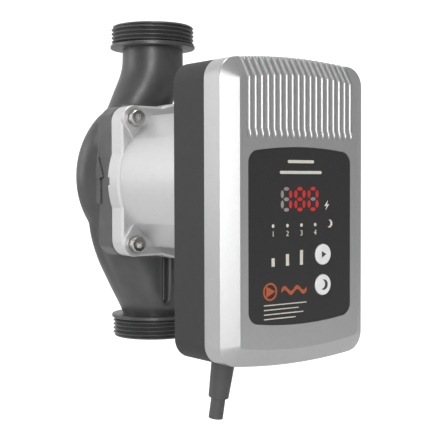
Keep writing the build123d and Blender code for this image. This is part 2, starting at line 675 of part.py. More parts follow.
def motor_bolts():
    length = BOLT_SEAT - JOINT_AHEAD + BOLT_REACH
    size = (BOLT_SEAT, (BOLT_HEAD_R, BOLT_HEAD_H), BOLT_R, length, BOLT_SOCKET_AF)
    return group([socket_screw(x, z, *size) for x, z in BOLT_PLACES])


def stator_leads():
    start, end = STATOR_END + COIL_OVERHANG, POWER_BOARD_BACK - CONNECTOR[2]
    return group([rod(LEAD_R, start, end, x, LEAD_Z) for x in LEAD_X])


def stator_connector():
    width, height, depth = CONNECTOR
    return block(width, height, POWER_BOARD_BACK - depth, POWER_BOARD_BACK, z=LEAD_Z)


# ---- cable and its strain relief ----
def mains_cable():
    return bar(cable_axis(-CABLE_INSIDE), cable_axis(CABLE_OUTSIDE), CABLE_R)


def relief_body():
    root_r, tip_r = CABLE_R + RELIEF_WALL[0], CABLE_R + RELIEF_WALL[1]
    root = cable_axis(-RELIEF_INSIDE)
    wider, long = RELIEF_LIP
    body = bar(root, cable_axis(RELIEF_OUTSIDE), root_r, tip_r)
    return body + bar(root, cable_axis(long - RELIEF_INSIDE), root_r + wider)


def strain_relief():
    return relief_body() - mains_cable()


# ---- control box ----
def rear_case():
    case = slab(box_outline(), BOX_BACK, CASE_FRONT)
    case = fillet(case.faces().sort_by(Axis.Y)[-1].outer_wire().edges(), CASE_EDGE)
    case -= slab(box_outline(BOX_WALL), BOX_BACK + BOX_WALL, CASE_FRONT)
    for x, z in BOSS_PLACES:
        case += rod(BOSS_R, BOX_BACK, CASE_FRONT, x, z)
    for x, z in STANDOFF_PLACES:
        case += rod(STANDOFF_R, BOX_BACK, POWER_BOARD_BACK, x, z)
        case -= rod(SMALL_SCREW_R, BOX_BACK + 2.0, POWER_BOARD_BACK, x, z)
    case += block(CLAMP_WIDTH, CLAMP_PAD, BOX_BACK + 1.0, CLAMP_BACK, CLAMP_MID, BOX_LOW + CLAMP_Z)
    case -= relief_body()
    case -= mains_cable()
    for x, z in CLAMP_PLACES:
        case -= rod(SMALL_SCREW_R, CLAMP_BACK - CLAMP_SCREW_GRIP, CLAMP_BACK, x, z)
    for x, z in BOSS_PLACES:
        case -= rod(COVER_SCREW_R + SCREW_CLEARANCE, BOX_BACK, CASE_FRONT, x, z)
        case -= rod(HEAD_RECESS[0], BOX_BACK, BOX_BACK + HEAD_RECESS[1], x, z)
    for x, z in BOX_SCREW_PLACES:
        case -= rod(BOX_SCREW_R + SCREW_CLEARANCE, BOX_BACK, BOX_BACK + BOX_WALL, x, z)
    return case - block(*LEAD_SLOT, BOX_BACK, BOX_BACK + BOX_WALL, z=LEAD_Z)


def top_edge(x, inset):
    """Height of the box's arched top edge at a place across it."""
    half = BOX_WIDTH / 2 - inset
    radius = (half**2 + BOX_CROWN**2) / (2 * BOX_CROWN)
    return BOX_TOP - inset - radius + math.sqrt(radius**2 - x**2)


def flute(x):
    """Cutter for one flute: it ramps in, runs up the front and follows the top chamfer."""
    centre = FRONT + FLUTE_R - FLUTE_DEPTH
    across, deep = COVER_CHAMFER
    bend = top_edge(x, across) - FLUTE_TURN
    low = BOX_LOW + FLUTE_LOW
    steps = [
        (x, -(FRONT + FLUTE_R), low),
        (x, -centre, low + FLUTE_RAMP),
        (x, -centre, bend),
        (x, -centre + 2 * deep, bend + 2 * across),
    ]
    cutter = bar(steps[0], steps[1], FLUTE_R)
    for a, b in zip(steps[1:-1], steps[2:]):
        cutter += bar(a, b, FLUTE_R) + Pos(*a) * Sphere(FLUTE_R)
    return cutter


def cover_block():
    """The front cover's outside, still solid."""
    band = slab(box_outline(), CASE_FRONT, BAND_FRONT)
    body = band + loft([ahead(BAND_FRONT) * box_outline(), ahead(FRONT) * box_outline(COVER_CHAMFER[0])])
    rings = body.edges().filter_by(lambda edge: edge.bounding_box().size.Y < 0.01).group_by(Axis.Y)
    body = fillet(rings[0], COVER_EDGES[1])
    rings = body.edges().filter_by(lambda edge: abs(edge.center().Y + BAND_FRONT) < 0.01)
    return fillet(rings, COVER_EDGES[0])


def cover_cavity():
    step = BAND_FRONT - CAVITY_STEP
    near = slab(box_outline(BOX_WALL), CASE_FRONT, step)
    return near + loft([ahead(step) * box_outline(BOX_WALL), ahead(WALL_BACK) * box_outline(CAVITY_INSET)])


def guide_places():
    """Light guides behind the indicator windows: (x, z, radius)."""
    places = [(x, BOX_LOW + MODE_Z, MODE_R + GUIDE_MARGIN) for x in MODE_X]
    places += [(x, BOX_LOW + SPEED_LOW + height / 2, SPEED_GUIDE_R) for x, height in SPEED_BARS]
    return places + [(NIGHT_MARK[0], BOX_LOW + NIGHT_MARK[1], MOON_R)]


def front_cover():
    outside = cover_block()
    cover = outside - cover_cavity()
    for x, z in BOSS_PLACES:
        cover += rod(BOSS_R, CASE_FRONT, WALL_BACK, x, z) & outside
        cover -= rod(COVER_SCREW_R, CASE_FRONT, CASE_FRONT + COVER_SCREW_GRIP + 0.4, x, z)
    for index in range(FLUTE_COUNT):
        cover -= flute((index - (FLUTE_COUNT - 1) / 2) * FLUTE_PITCH)
    for x, z in POST_PLACES:
        cover += rod(DISPLAY_POST_R, DISPLAY_FRONT, WALL_BACK + 1.0, x, z)
        cover -= rod(DISPLAY_SCREW_R, DISPLAY_FRONT, DISPLAY_FRONT + DISPLAY_GRIP + 0.4, x, z)
    cover -= gasket_ring()
    cover -= slab(panel_outline(PANEL_FIT), PANEL_BACK, FRONT + 1.0)
    cover -= block(*DISPLAY_WINDOW, WALL_BACK, PANEL_BACK, x=DIGIT_X[1], z=BOX_LOW + DIGIT_Z)
    for x, z, radius in guide_places():
        cover -= rod(radius, WALL_BACK, PANEL_BACK, x, z)
    for z in BUTTON_Z:
        cover -= rod(BUTTON_R + BUTTON_GAP, BUTTON_POCKET, PANEL_BACK, BUTTON_X, BOX_LOW + z)
        cover -= rod(STEM_R + BUTTON_GAP, WALL_BACK, BUTTON_POCKET, BUTTON_X, BOX_LOW + z)
    return cover


def cover_screws():
    seat = BOX_BACK + HEAD_RECESS[1]
    radius, height = COVER_HEAD
    length, width, depth = CROSS_SLOT
    screws = []
    for x, z in BOSS_PLACES:
        cross = Pos(x, z) * (Rectangle(length, width) + Rectangle(width, length))
        head = rod(radius, seat - height, seat, x, z) - slab(cross, seat - height, seat - height + depth)
        screws.append(head + rod(COVER_SCREW_R, seat, CASE_FRONT + COVER_SCREW_GRIP, x, z))
    return group(screws)


def box_screws():
    seat = BOX_BACK + BOX_WALL
    size = (seat, BOX_SCREW_HEAD, BOX_SCREW_R, BOX_SCREW_LENGTH, BOX_SCREW_AF)
    return group([socket_screw(x, z, *size) for x, z in BOX_SCREW_PLACES])


# ---- power board ----
def board(width, low, high, start):
    outline = Pos(0, (low + high) / 2) * RectangleRounded(width, high - low, BOARD_CORNER_R)
    return slab(outline, start, start + BOARD_T)


def power_board():
    side, bottom, top = POWER_BOARD_MARGIN
    plate = board(BOX_WIDTH - 2 * side, BOX_LOW + bottom, BOX_TOP - top, POWER_BOARD_BACK)
    for x, z in BOSS_PLACES:
        plate -= rod(BOSS_R + 0.6, POWER_BOARD_BACK, POWER_BOARD_FRONT, x, z)
    for x, z in STANDOFF_PLACES:
        plate -= rod(SMALL_SCREW_R + SCREW_CLEARANCE, POWER_BOARD_BACK, POWER_BOARD_FRONT, x, z)
    return plate


def board_screws():
    return group([small_screw(x, z, POWER_BOARD_FRONT, BOARD_SCREW_LENGTH) for x, z in STANDOFF_PLACES])


def filter_capacitors():
    radius, length = CAPACITOR
    start, z = POWER_BOARD_FRONT, BOX_TOP - CAPACITOR_DROP
    return group([rod(radius, start, start + length, x, z) for x in CAPACITOR_X])


def filter_choke():
    outer, inner, length = CHOKE
    x, drop = CHOKE_PLACE
    return tube(outer, inner, POWER_BOARD_FRONT, POWER_BOARD_FRONT + length, x, BOX_TOP - drop)


def power_module():
    width, height, depth = MODULE
    return block(width, height, POWER_BOARD_BACK - depth, POWER_BOARD_BACK, z=MOTOR_Z - MODULE_DROP)


def heat_pad():
    width, height, depth = MODULE
    return block(width, height, BOX_BACK + BOX_WALL, POWER_BOARD_BACK - depth, z=MOTOR_Z - MODULE_DROP)


def controller_chip():
    side, height = CHIP
    x, z = CHIP_PLACE
    return block(side, side, POWER_BOARD_FRONT, POWER_BOARD_FRONT + height, x, BOX_LOW + z)


def board_header():
    x, z = HEADER_PLACE
    return block(*HEADER, POWER_BOARD_FRONT, DISPLAY_BACK, x, BOX_LOW + z)


# ---- cable connection ----
def terminal_block():
    width, height, depth = TERMINAL
    front = POWER_BOARD_FRONT + depth
    shape = block(width, height, POWER_BOARD_FRONT, front, CABLE_START.X, TERMINAL_MID)
    for x in CORE_PLACES:
        hole_end = (x, CABLE_START.Y, TERMINAL_LOW + CORE_DEPTH)
        shape -= bar((x, CABLE_START.Y, TERMINAL_LOW - 1), hole_end, CORE_R)
    for x in TERMINAL_PLACES:
        shape -= rod(TERMINAL_WELL[0], front - TERMINAL_WELL[1], front, x, TERMINAL_MID + TERMINAL_RISE)
    return shape


def terminal_screws():
    start = POWER_BOARD_FRONT + TERMINAL[2] - TERMINAL_WELL[1]
    radius, length = TERMINAL_SCREW
    width, depth = TERMINAL_SLOT
    z = TERMINAL_MID + TERMINAL_RISE
    screws = []
    for x in TERMINAL_PLACES:
        slot = block(2 * radius + 0.2, width, start + length - depth, start + length, x, z)
        screws.append(rod(radius, start, start + length, x, z) - slot)
    return group(screws)


def cable_cores():
    start, end = CABLE_START.Z + CORE_START, TERMINAL_LOW + CORE_DEPTH
    return group([bar((x, CABLE_START.Y, start), (x, CABLE_START.Y, end), CORE_R) for x in CORE_PLACES])


def cord_clamp():
    height, depth = CLAMP_BAR
    start = CLAMP_BACK + CLAMP_GAP
    clamp = block(CLAMP_WIDTH, height, start, start + depth, CLAMP_MID, BOX_LOW + CLAMP_Z) - mains_cable()
    for x, z in CLAMP_PLACES:
        clamp -= rod(SMALL_SCREW_R + SCREW_CLEARANCE, start, start + depth, x, z)
    return clamp


def clamp_screws():
    seat = CLAMP_BACK + CLAMP_GAP + CLAMP_BAR[1]
    return group([small_screw(x, z, seat, CLAMP_SCREW_LENGTH) for x, z in CLAMP_PLACES])


# ---- display board ----
def display_board():
    width, low, high = DISPLAY_BOARD
    plate = board(width, BOX_LOW + low, BOX_LOW + high, DISPLAY_BACK)
    for x, z in POST_PLACES:
        plate -= rod(DISPLAY_SCREW_R + SCREW_CLEARANCE, DISPLAY_BACK, DISPLAY_FRONT, x, z)
    return plate


def display_screws():
    radius, height = DISPLAY_HEAD
    screws = []
    for x, z in POST_PLACES:
        head = rod(radius, DISPLAY_BACK - height, DISPLAY_BACK, x, z)
        screws.append(head + rod(DISPLAY_SCREW_R, DISPLAY_BACK, DISPLAY_FRONT + DISPLAY_GRIP, x, z))
    return group(screws)


def display_module():
    width, height = (side - 2 * DISPLAY_GAP for side in DISPLAY_WINDOW)
    return block(width, height, DISPLAY_FRONT, PANEL_BACK - 0.2, x=DIGIT_X[1], z=BOX_LOW + DIGIT_Z)


def indicator_leds():
    width, height, depth = LED
    front = DISPLAY_FRONT + depth
    return group([block(width, height, DISPLAY_FRONT, front, x, z) for x, z, _ in guide_places()])


def light_guides():
    start = DISPLAY_FRONT + LED[2] + GUIDE_GAP
    return group([rod(radius - GUIDE_FIT, start, PANEL_BACK, x, z) for x, z, radius in guide_places()])


def button_switches():
    side, height = SWITCH
    plunger_r, plunger_h = PLUNGER
    top = DISPLAY_FRONT + height
    switches = []
    for z in BUTTON_Z:
        base = block(side, side, DISPLAY_FRONT, top, BUTTON_X, BOX_LOW + z)
        switches.append(base + rod(plunger_r, top, top + plunger_h, BUTTON_X, BOX_LOW + z))
    return group(switches)


# ---- panel ----
def seven_segments(x, z):
    """The seven segment bars of one digit, in the usual order a to g."""
    half_w, half_h = (DIGIT_W - TALL_SEGMENT[0]) / 2, (DIGIT_H - FLAT_SEGMENT[1]) / 2
    flat = Ellipse(FLAT_SEGMENT[0] / 2, FLAT_SEGMENT[1] / 2)
    tall = Ellipse(TALL_SEGMENT[0] / 2, TALL_SEGMENT[1] / 2)
    places = [
        (flat, 0, half_h),
        (tall, half_w, TALL_RISE),
        (tall, half_w, -TALL_RISE),
        (flat, 0, -half_h),
        (tall, -half_w, -TALL_RISE),
        (tall, -half_w, TALL_RISE),
        (flat, 0, 0),
    ]
    return [Pos(x + dx, z + dz) * shape for shape, dx, dz in places]


def segment_outlines(lit):
    """Outlines of the segments that are lit, or of those that are not."""
    chosen = []
    for digit, x in zip(DIGITS_LIT, DIGIT_X):
        bars = seven_segments(x, BOX_LOW + DIGIT_Z)
        chosen += [shape for number, shape in enumerate(bars) if (number in digit) == lit]
    return chosen


def moon(x, z, radius):
    """Crescent: a disc with a smaller disc taken out of its left side."""
    return Pos(x, z) * (Circle(radius) - Pos(-radius * 0.55, radius * 0.1) * Circle(radius * 0.85))


def play_icon():
    left, right, half = -PLAY_SIZE * 0.45, PLAY_SIZE * 0.75, PLAY_SIZE * 0.7
    triangle = Polygon((left, -half), (right, 0), (left, half), align=None)
    return Pos(BUTTON_X, BOX_LOW + BUTTON_Z[0]) * triangle


def moon_icon():
    return moon(BUTTON_X + MOON_ICON_SHIFT, BOX_LOW + BUTTON_Z[1], MOON_ICON_R)


def unit_outline():
    """A plain lightning flash beside the digits."""
    return Pos(UNIT_MARK[0], BOX_LOW + UNIT_MARK[1]) * Polygon(*UNIT_FLASH, align=None)


def night_outline():
    return moon(NIGHT_MARK[0], BOX_LOW + NIGHT_MARK[1], MOON_R)


def speed_outlines():
    return [Pos(x, BOX_LOW + SPEED_LOW + h / 2) * Rectangle(SPEED_W, h) for x, h in SPEED_BARS]


def mode_outlines():
    return [Pos(x, BOX_LOW + MODE_Z) * Circle(MODE_R) for x in MODE_X]


def window(outline):
    """A printed or lit window that fills its opening in the panel."""
    return slab(outline, PANEL_BACK, PANEL_FRONT)


def windows(outlines):
    return group([window(outline) for outline in outlines])


def control_panel():
    panel = window(panel_outline())
    shapes = segment_outlines(True) + segment_outlines(False) + speed_outlines() + mode_outlines()
    for shape in shapes + [unit_outline(), night_outline()]:
        panel -= window(shape)
    for z in BUTTON_Z:
        panel -= rod(BUTTON_R + BUTTON_GAP, PANEL_BACK, PANEL_FRONT, BUTTON_X, BOX_LOW + z)
    return panel


def icon(outline):
    return slab(outline, BUTTON_FRONT - ICON_T, BUTTON_FRONT)


def button(z, outline):
    """Round key with a stem behind it and a recess for its printed icon."""
    cap = rod(BUTTON_R, BUTTON_FRONT - BUTTON_T, BUTTON_FRONT, BUTTON_X, BOX_LOW + z)
    cap = chamfer(cap.edges().group_by(Axis.Y)[0], BUTTON_EDGE)
    stem_end = DISPLAY_FRONT + SWITCH[1] + PLUNGER[1] + BUTTON_TRAVEL + STEM_GAP
    return cap + rod(STEM_R, stem_end, BUTTON_FRONT - BUTTON_T, BUTTON_X, BOX_LOW + z) - icon(outline)


NODES = {
    "pump_housing": pump_housing,
    "neck_ring": neck_ring,
    "impeller": impeller,
    "housing_seal": housing_seal,
    "bearing_plate": bearing_plate,
    "front_bearing": front_bearing,
    "separation_can": separation_can,
    "rear_bearing": rear_bearing,
    "rotor_shaft": rotor_shaft,
    "thrust_washer": thrust_washer,
    "rotor_core": rotor_core,
    "rotor_sleeve": rotor_sleeve,
    "stator_core": stator_core,
    "stator_coils": stator_coils,
    "stator_leads": stator_leads,
    "stator_connector": stator_connector,
    "motor_housing": motor_housing,
    "motor_bolts": motor_bolts,
    "rear_case": rear_case,
    "case_gasket": gasket_ring,
    "front_cover": front_cover,
    "cover_screws": cover_screws,
    "box_screws": box_screws,
    "power_board": power_board,
    "board_screws": board_screws,
    "filter_capacitors": filter_capacitors,
    "filter_choke": filter_choke,
    "power_module": power_module,
    "heat_pad": heat_pad,
    "controller_chip": controller_chip,
    "terminal_block": terminal_block,
    "terminal_screws": terminal_screws,
    "cable_cores": cable_cores,
    "cord_clamp": cord_clamp,
    "clamp_screws": clamp_screws,
    "strain_relief": strain_relief,
    "mains_cable": mains_cable,
    "board_header": board_header,
    "display_board": display_board,
    "display_screws": display_screws,
    "display_module": display_module,
    "indicator_leds": indicator_leds,
    "light_guides": light_guides,
    "button_switches": button_switches,
    "control_panel": control_panel,
    "digits_lit": lambda: windows(segment_outlines(True)),
    "digits_unlit": lambda: windows(segment_outlines(False)),
    "unit_mark": lambda: window(unit_outline()),
    "mode_windows": lambda: windows(mode_outlines()),
    "speed_windows": lambda: windows(speed_outlines()),
    "night_window": lambda: window(night_outline()),
    "button_mode": lambda: button(BUTTON_Z[0], play_icon()),
    "button_night": lambda: button(BUTTON_Z[1], moon_icon()),
    "mode_icon": lambda: icon(play_icon()),
    "night_icon": lambda: icon(moon_icon()),
}

os.makedirs("parts", exist_ok=True)
for name, make in NODES.items():
    shape = make()
    print(name, round(shape.volume, 1))
    export_step(shape, os.path.join("parts", name + ".step"))
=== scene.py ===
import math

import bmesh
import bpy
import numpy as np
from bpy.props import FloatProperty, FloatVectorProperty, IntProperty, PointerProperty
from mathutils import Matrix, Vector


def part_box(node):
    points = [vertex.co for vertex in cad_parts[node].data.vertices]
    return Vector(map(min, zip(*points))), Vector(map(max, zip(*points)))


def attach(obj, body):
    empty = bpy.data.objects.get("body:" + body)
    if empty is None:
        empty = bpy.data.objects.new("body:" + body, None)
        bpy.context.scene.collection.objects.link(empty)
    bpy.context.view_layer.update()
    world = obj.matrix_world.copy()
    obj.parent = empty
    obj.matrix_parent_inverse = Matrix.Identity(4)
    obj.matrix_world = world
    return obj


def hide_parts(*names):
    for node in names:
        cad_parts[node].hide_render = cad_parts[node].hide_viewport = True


bl_info = {
    "name": "Circulator pump",
    "version": (1, 0, 0),
    "blender": (4, 5, 0),
    "location": "View3D > Sidebar > Pump",
    "description": "Casting, ports, cord, panel prints, finishes and studio of a heating circulator pump",
    "category": "Object",
}

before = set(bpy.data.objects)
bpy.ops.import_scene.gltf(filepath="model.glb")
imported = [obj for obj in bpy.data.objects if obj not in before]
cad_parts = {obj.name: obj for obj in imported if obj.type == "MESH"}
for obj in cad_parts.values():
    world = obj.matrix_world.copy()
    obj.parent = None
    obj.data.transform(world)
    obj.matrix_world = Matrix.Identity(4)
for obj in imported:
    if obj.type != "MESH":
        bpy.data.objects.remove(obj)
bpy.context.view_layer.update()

# Lengths in the shape functions are millimetres, in the frame of the CAD: +Z up the port
# axis, the control panel towards -Y, and the origin at the middle of the inlet face.
MM = 0.001
MOTOR_Z = 90.0
PORT_LENGTH = 180.0
JOINT_Y = -21.2               # machined face between casting and motor
PANEL_Y = -129.5              # front of the control panel
FLOOR_DROP = 120.0            # floor below the inlet face
VOLUTE_WIDEST = 5.5           # where the scroll is widest, behind the port axis
CORD_EXIT = np.array([-26.0, -101.0, 0.0])
CORD_SLOPE = np.array([-1.5, 1.9, -17.3])
CORD_LEAN = CORD_SLOPE / np.linalg.norm(CORD_SLOPE)
CORD_INSIDE = 20.5            # length of cord inside the case, up to its clamp
CORD_OUTSIDE = 27.9           # length of cord outside the case, to its cut end
CORE_RADIUS, WIRE_RADIUS = 1.05, 0.6
CORE_PROUD, WIRE_PROUD = 0.25, 0.4               # past the cut end of the sheath
PRINT_T = 0.06                # thickness of the panel prints
PRINT_BACK = PANEL_Y + 0.02   # the prints start just inside the panel
PRINT_FRONT = PANEL_Y - PRINT_T
TITLE_RULE, FINE_RULE = 1.5, 0.5                 # heights of the plain bars
MODES_Z, NUMERAL_SIZE = 64.3, 3.7                # row of numerals under the mode lamps
SYMBOL_Z, FINE_X = 37.0, -10.0                   # middles of the symbol row and the fine bars


# ---------------------------------------------------------------- surfaces
def grid_faces(rows, columns, loop=False):
    """Quads between neighbours of a grid whose columns close round; loop closes the rows too."""
    last = rows if loop else rows - 1
    i, j = np.meshgrid(np.arange(last), np.arange(columns), indexing="ij")
    below, beside = (i + 1) % rows, (j + 1) % columns
    quad = [i * columns + j, i * columns + beside, below * columns + beside, below * columns + j]
    return np.stack(quad, axis=-1).reshape(-1, 4)


def faces_out(points, faces):
    """Whether the faces point outwards: the signed volume, a sum of a . (b x c), is positive."""
    a, b, c = (points[faces[:, k]] for k in (0, 1, 2))
    volume = np.einsum("ij,ij->", a, np.cross(b, c))
    if faces.shape[1] == 4:
        d = points[faces[:, 3]]
        volume += np.einsum("ij,ij->", a, np.cross(c, d))
    return volume > 0


def skin(rings):
    """A closed form through a stack of rings, each end closed by a fan to its middle."""
    rows, columns, _ = rings.shape
    points = np.vstack([rings.reshape(-1, 3), rings[0].mean(axis=0), rings[-1].mean(axis=0)])
    quads = grid_faces(rows, columns)
    j = np.arange(columns)
    beside = (j + 1) % columns
    first = np.stack([np.full(columns, rows * columns), beside, j], axis=1)
    start = (rows - 1) * columns
    last = np.stack([np.full(columns, rows * columns + 1), start + j, start + beside], axis=1)
    if not faces_out(points, quads):
        quads, first, last = quads[:, ::-1], first[:, ::-1], last[:, ::-1]
    return points, quads.tolist() + first.tolist() + last.tolist()


def hoop(rings):
    """A closed form whose rings also join end to end, such as a threaded collar."""
    points = rings.reshape(-1, 3)
    faces = grid_faces(rings.shape[0], rings.shape[1], loop=True)
    if not faces_out(points, faces):
        faces = faces[:, ::-1]
    return points, faces.tolist()


def joined(forms):
    """Several forms as one list of points and faces."""
    points, faces, start = [], [], 0
    for form_points, form_faces in forms:
        points.append(form_points)
        faces += [[start + k for k in face] for face in form_faces]
        start += len(form_points)
    return np.vstack(points), faces


def new_piece(name, form, smooth=True):
    """A mesh object in metres from a form in millimetres."""
    points, faces = form
    mesh = bpy.data.meshes.new(name)
    mesh.from_pydata((points * MM).tolist(), [], faces)
    mesh.polygons.foreach_set("use_smooth", np.full(len(mesh.polygons), smooth))
    mesh.validate()
    piece = bpy.data.objects.new(name, mesh)
    bpy.context.scene.collection.objects.link(piece)
    return piece


def baked(piece):
    """The piece with its modifiers worked into its mesh."""
    bpy.context.view_layer.update()
    graph = bpy.context.evaluated_depsgraph_get()
    mesh = bpy.data.meshes.new_from_object(piece.evaluated_get(graph))
    piece.modifiers.clear()
    piece.data = mesh
    return piece


def remeshed(piece, name, voxel):
    """A voxel remesh at the end of the piece's modifiers."""
    step = piece.modifiers.new(name, "REMESH")
    step.mode = "VOXEL"
    step.voxel_size = voxel
    step.use_smooth_shade = True


def crisp_edges(piece, angle=35.0):
    """Edges that bend more than the angle stay crisp, and the rest are shaded smooth."""
    work = bmesh.new()
    work.from_mesh(piece.data)
    for edge in work.edges:
        edge.smooth = edge.is_manifold and edge.calc_face_angle(0.0) < math.radians(angle)
    work.to_mesh(piece.data)
    work.free()
    return piece


def turn(count):
    """Even angles round a circle."""
    return np.linspace(0.0, 2.0 * math.pi, count, endpoint=False)


def stations(table, levels):
    """Each column of a table of stations, read at other heights on straight lines between rows."""
    table = np.array(table, dtype=float)
    at = np.clip(np.searchsorted(table[:, 0], levels, side="right") - 1, 0, len(table) - 2)
    low, high = table[at], table[at + 1]
    part = (levels - low[:, 0]) / (high[:, 0] - low[:, 0])
    return (low + (high - low) * part[:, None])[:, 1:]


def softened(values, times):
    """Each row averaged with its neighbours a number of times, ends kept."""
    for _ in range(times):
        values[1:-1] = 0.25 * values[:-2] + 0.5 * values[1:-1] + 0.25 * values[2:]
    return values


def oval_column(table, rows=60, columns=96, squareness=2.0, front=None):
    """Ovals stacked up Z: |x/a|^n + |y/b|^n = 1 about a middle that moves with height.
    The table's columns are height, middle x, middle y, half width a and half depth b;
    front cuts everything ahead of that y off flat."""
    table = np.array(table, dtype=float)
    levels = np.linspace(table[0, 0], table[-1, 0], rows)
    middle_x, middle_y, a, b = softened(stations(table, levels), 12).T[:, :, None]
    angle = turn(columns)[None, :]
    power = 2.0 / squareness
    x = middle_x + a * np.sign(np.cos(angle)) * np.abs(np.cos(angle)) ** power
    y = middle_y + b * np.sign(np.sin(angle)) * np.abs(np.sin(angle)) ** power
    if front is not None:
        y = np.maximum(y, front)
    return skin(np.stack([x, y, np.broadcast_to(levels[:, None], x.shape)], axis=-1))


def y_rod(radius, start, end, x=0.0, z=MOTOR_Z, columns=64):
    """A round rod along Y: the circle (r cos t, r sin t) at both ends."""
    angle = turn(columns)
    ring = np.stack([x + radius * np.cos(angle), 0 * angle, z + radius * np.sin(angle)], axis=-1)
    ends = np.array([start, end])[:, None, None] * np.array([0.0, 1.0, 0.0])
    return skin(ring[None] + ends)


def prism(outline, start, end, axis=1):
    """A flat outline of (u, v) points, in order round its edge, carried along one axis."""
    outline = np.array(outline, dtype=float)
    rings = np.empty((2, len(outline), 3))
    others = [k for k in range(3) if k != axis]
    rings[:, :, others] = outline[None]
    rings[0, :, axis], rings[1, :, axis] = start, end
    return skin(rings)


# ---------------------------------------------------------------- casting
def volute():
    """The scroll: its radius grows with the square of the turn from the tongue and eases back
    in the last part of the turn. Its section is the oval |r/R|^n + |y/d|^n = 1 behind its
    widest place, and a lead-in of falling radius in front of it."""
    tongue, growing = 250.0, 300.0            # degrees: added to start at the tongue, and span
    least, growth, easing = 41.0, 8.4, 0.2    # radius at the tongue, its growth, share of easing
    back_y, squareness, pole = 18.5, 2.7, 0.995
    lead_length, lead_fall, lead_reach = 1.3, 8.5, 8.0
    angle = turn(144)[None, :]
    along = np.mod(np.degrees(angle) + tongue, 360.0) / growing
    back = np.clip((along - 1.0) / easing, 0.0, 1.0)
    radius = least + growth * np.minimum(along, 1.0) ** 2 - growth * back * back * (3 - 2 * back)
    lead = np.linspace(lead_length, 0.0, 16)[:, None]
    lead_radius = radius - lead_fall * np.minimum(lead, 1.0) ** 2
    lead_y = VOLUTE_WIDEST - (VOLUTE_WIDEST + lead_reach) * lead
    swing = np.linspace(0.0, pole * math.pi / 2, 40)[:, None]
    power = 2.0 / squareness
    rear_radius = radius * np.cos(swing) ** power
    rear_y = VOLUTE_WIDEST + (back_y - VOLUTE_WIDEST) * np.sin(swing) ** power
    r = np.vstack([lead_radius[:-1], rear_radius])
    y = np.broadcast_to(np.vstack([lead_y[:-1], rear_y]), r.shape)
    return skin(np.stack([-r * np.cos(angle), y, MOTOR_Z + r * np.sin(angle)], axis=-1))


def casting_outside():
    """Scroll, both necks, suction hump, flange with cut corners and front rib. Each table is
    one oval column: height, middle x, middle y, half width and half depth."""
    lower_neck = oval_column(
        [
            (8, 0, 0, 17.4, 17.4), (13, 0, 0, 17.8, 17.8), (18, 0, 0, 20.0, 20.0),
            (27, 0, 0, 24.0, 21.4), (34, 0, 0, 26.9, 21.5), (42, 0, 0, 30.4, 21.0),
            (51, 0, -0.5, 34.4, 20.5), (62, 0, -3, 38.0, 16.0), (74, 0, -6, 37.0, 10.0),
        ],
        front=-19.6,
    )
    upper_neck = oval_column(
        [
            (104, -19, -1, 23.0, 9.0), (114, -17, -1, 23.0, 11.5), (125, -13, -1, 21.0, 13.8),
            (133, -9.2, 0, 19.2, 15.0), (141, -5.4, 0, 19.3, 16.6), (149, -1.6, 0, 18.9, 17.4),
            (156, 0, 0, 17.8, 17.6), (172, 0, 0, 17.5, 17.5),
        ]
    )
    hump = oval_column(
        [
            (16, 0, 0, 12.0, 12.0), (28, 0, 3, 19.0, 16.5), (44, 0, 5.5, 24.0, 16.3),
            (70, 0, 5.5, 22.5, 16.4), (96, 0, 5.5, 20.5, 16.6), (106, 0, 5.0, 19.0, 15.6),
            (111, 0, 4.0, 13.0, 11.0), (112, 0, 3.5, 9.0, 8.0),
        ],
        squareness=2.5,
    )
    flank = oval_column(
        [
            (12, 0, 0, 17.6, 17.6), (20, 0, 1.5, 20.8, 18.6), (27, 0, 3, 24.6, 18.0),
            (34, 0, 4.5, 27.8, 17.0), (42, 0, 5.5, 32.0, 15.6), (51, 0, 6, 35.8, 14.0),
            (60, 0, 6, 38.7, 12.0), (68, 0, 6, 40.0, 10.0), (78, 0, 6, 37.5, 8.0),
        ]
    )
    half, cut, flange_back = 41.0, 5.2, -6.6
    octagon = [
        (half, half - cut), (half - cut, half), (cut - half, half), (-half, half - cut),
        (-half, cut - half), (cut - half, -half), (half - cut, -half), (half, cut - half),
    ]
    flange = prism([(x, MOTOR_Z + z) for x, z in octagon], flange_back, JOINT_Y)
    rib = oval_column(
        [(14, 0, -16, 1.6, 2.0), (24, 0, -17, 2.6, 4.0), (52, 0, -17, 2.8, 4.2)],
        rows=20, columns=24, squareness=4.0,
    )
    return joined([volute(), lower_neck, upper_neck, hump, flange, rib, flank])


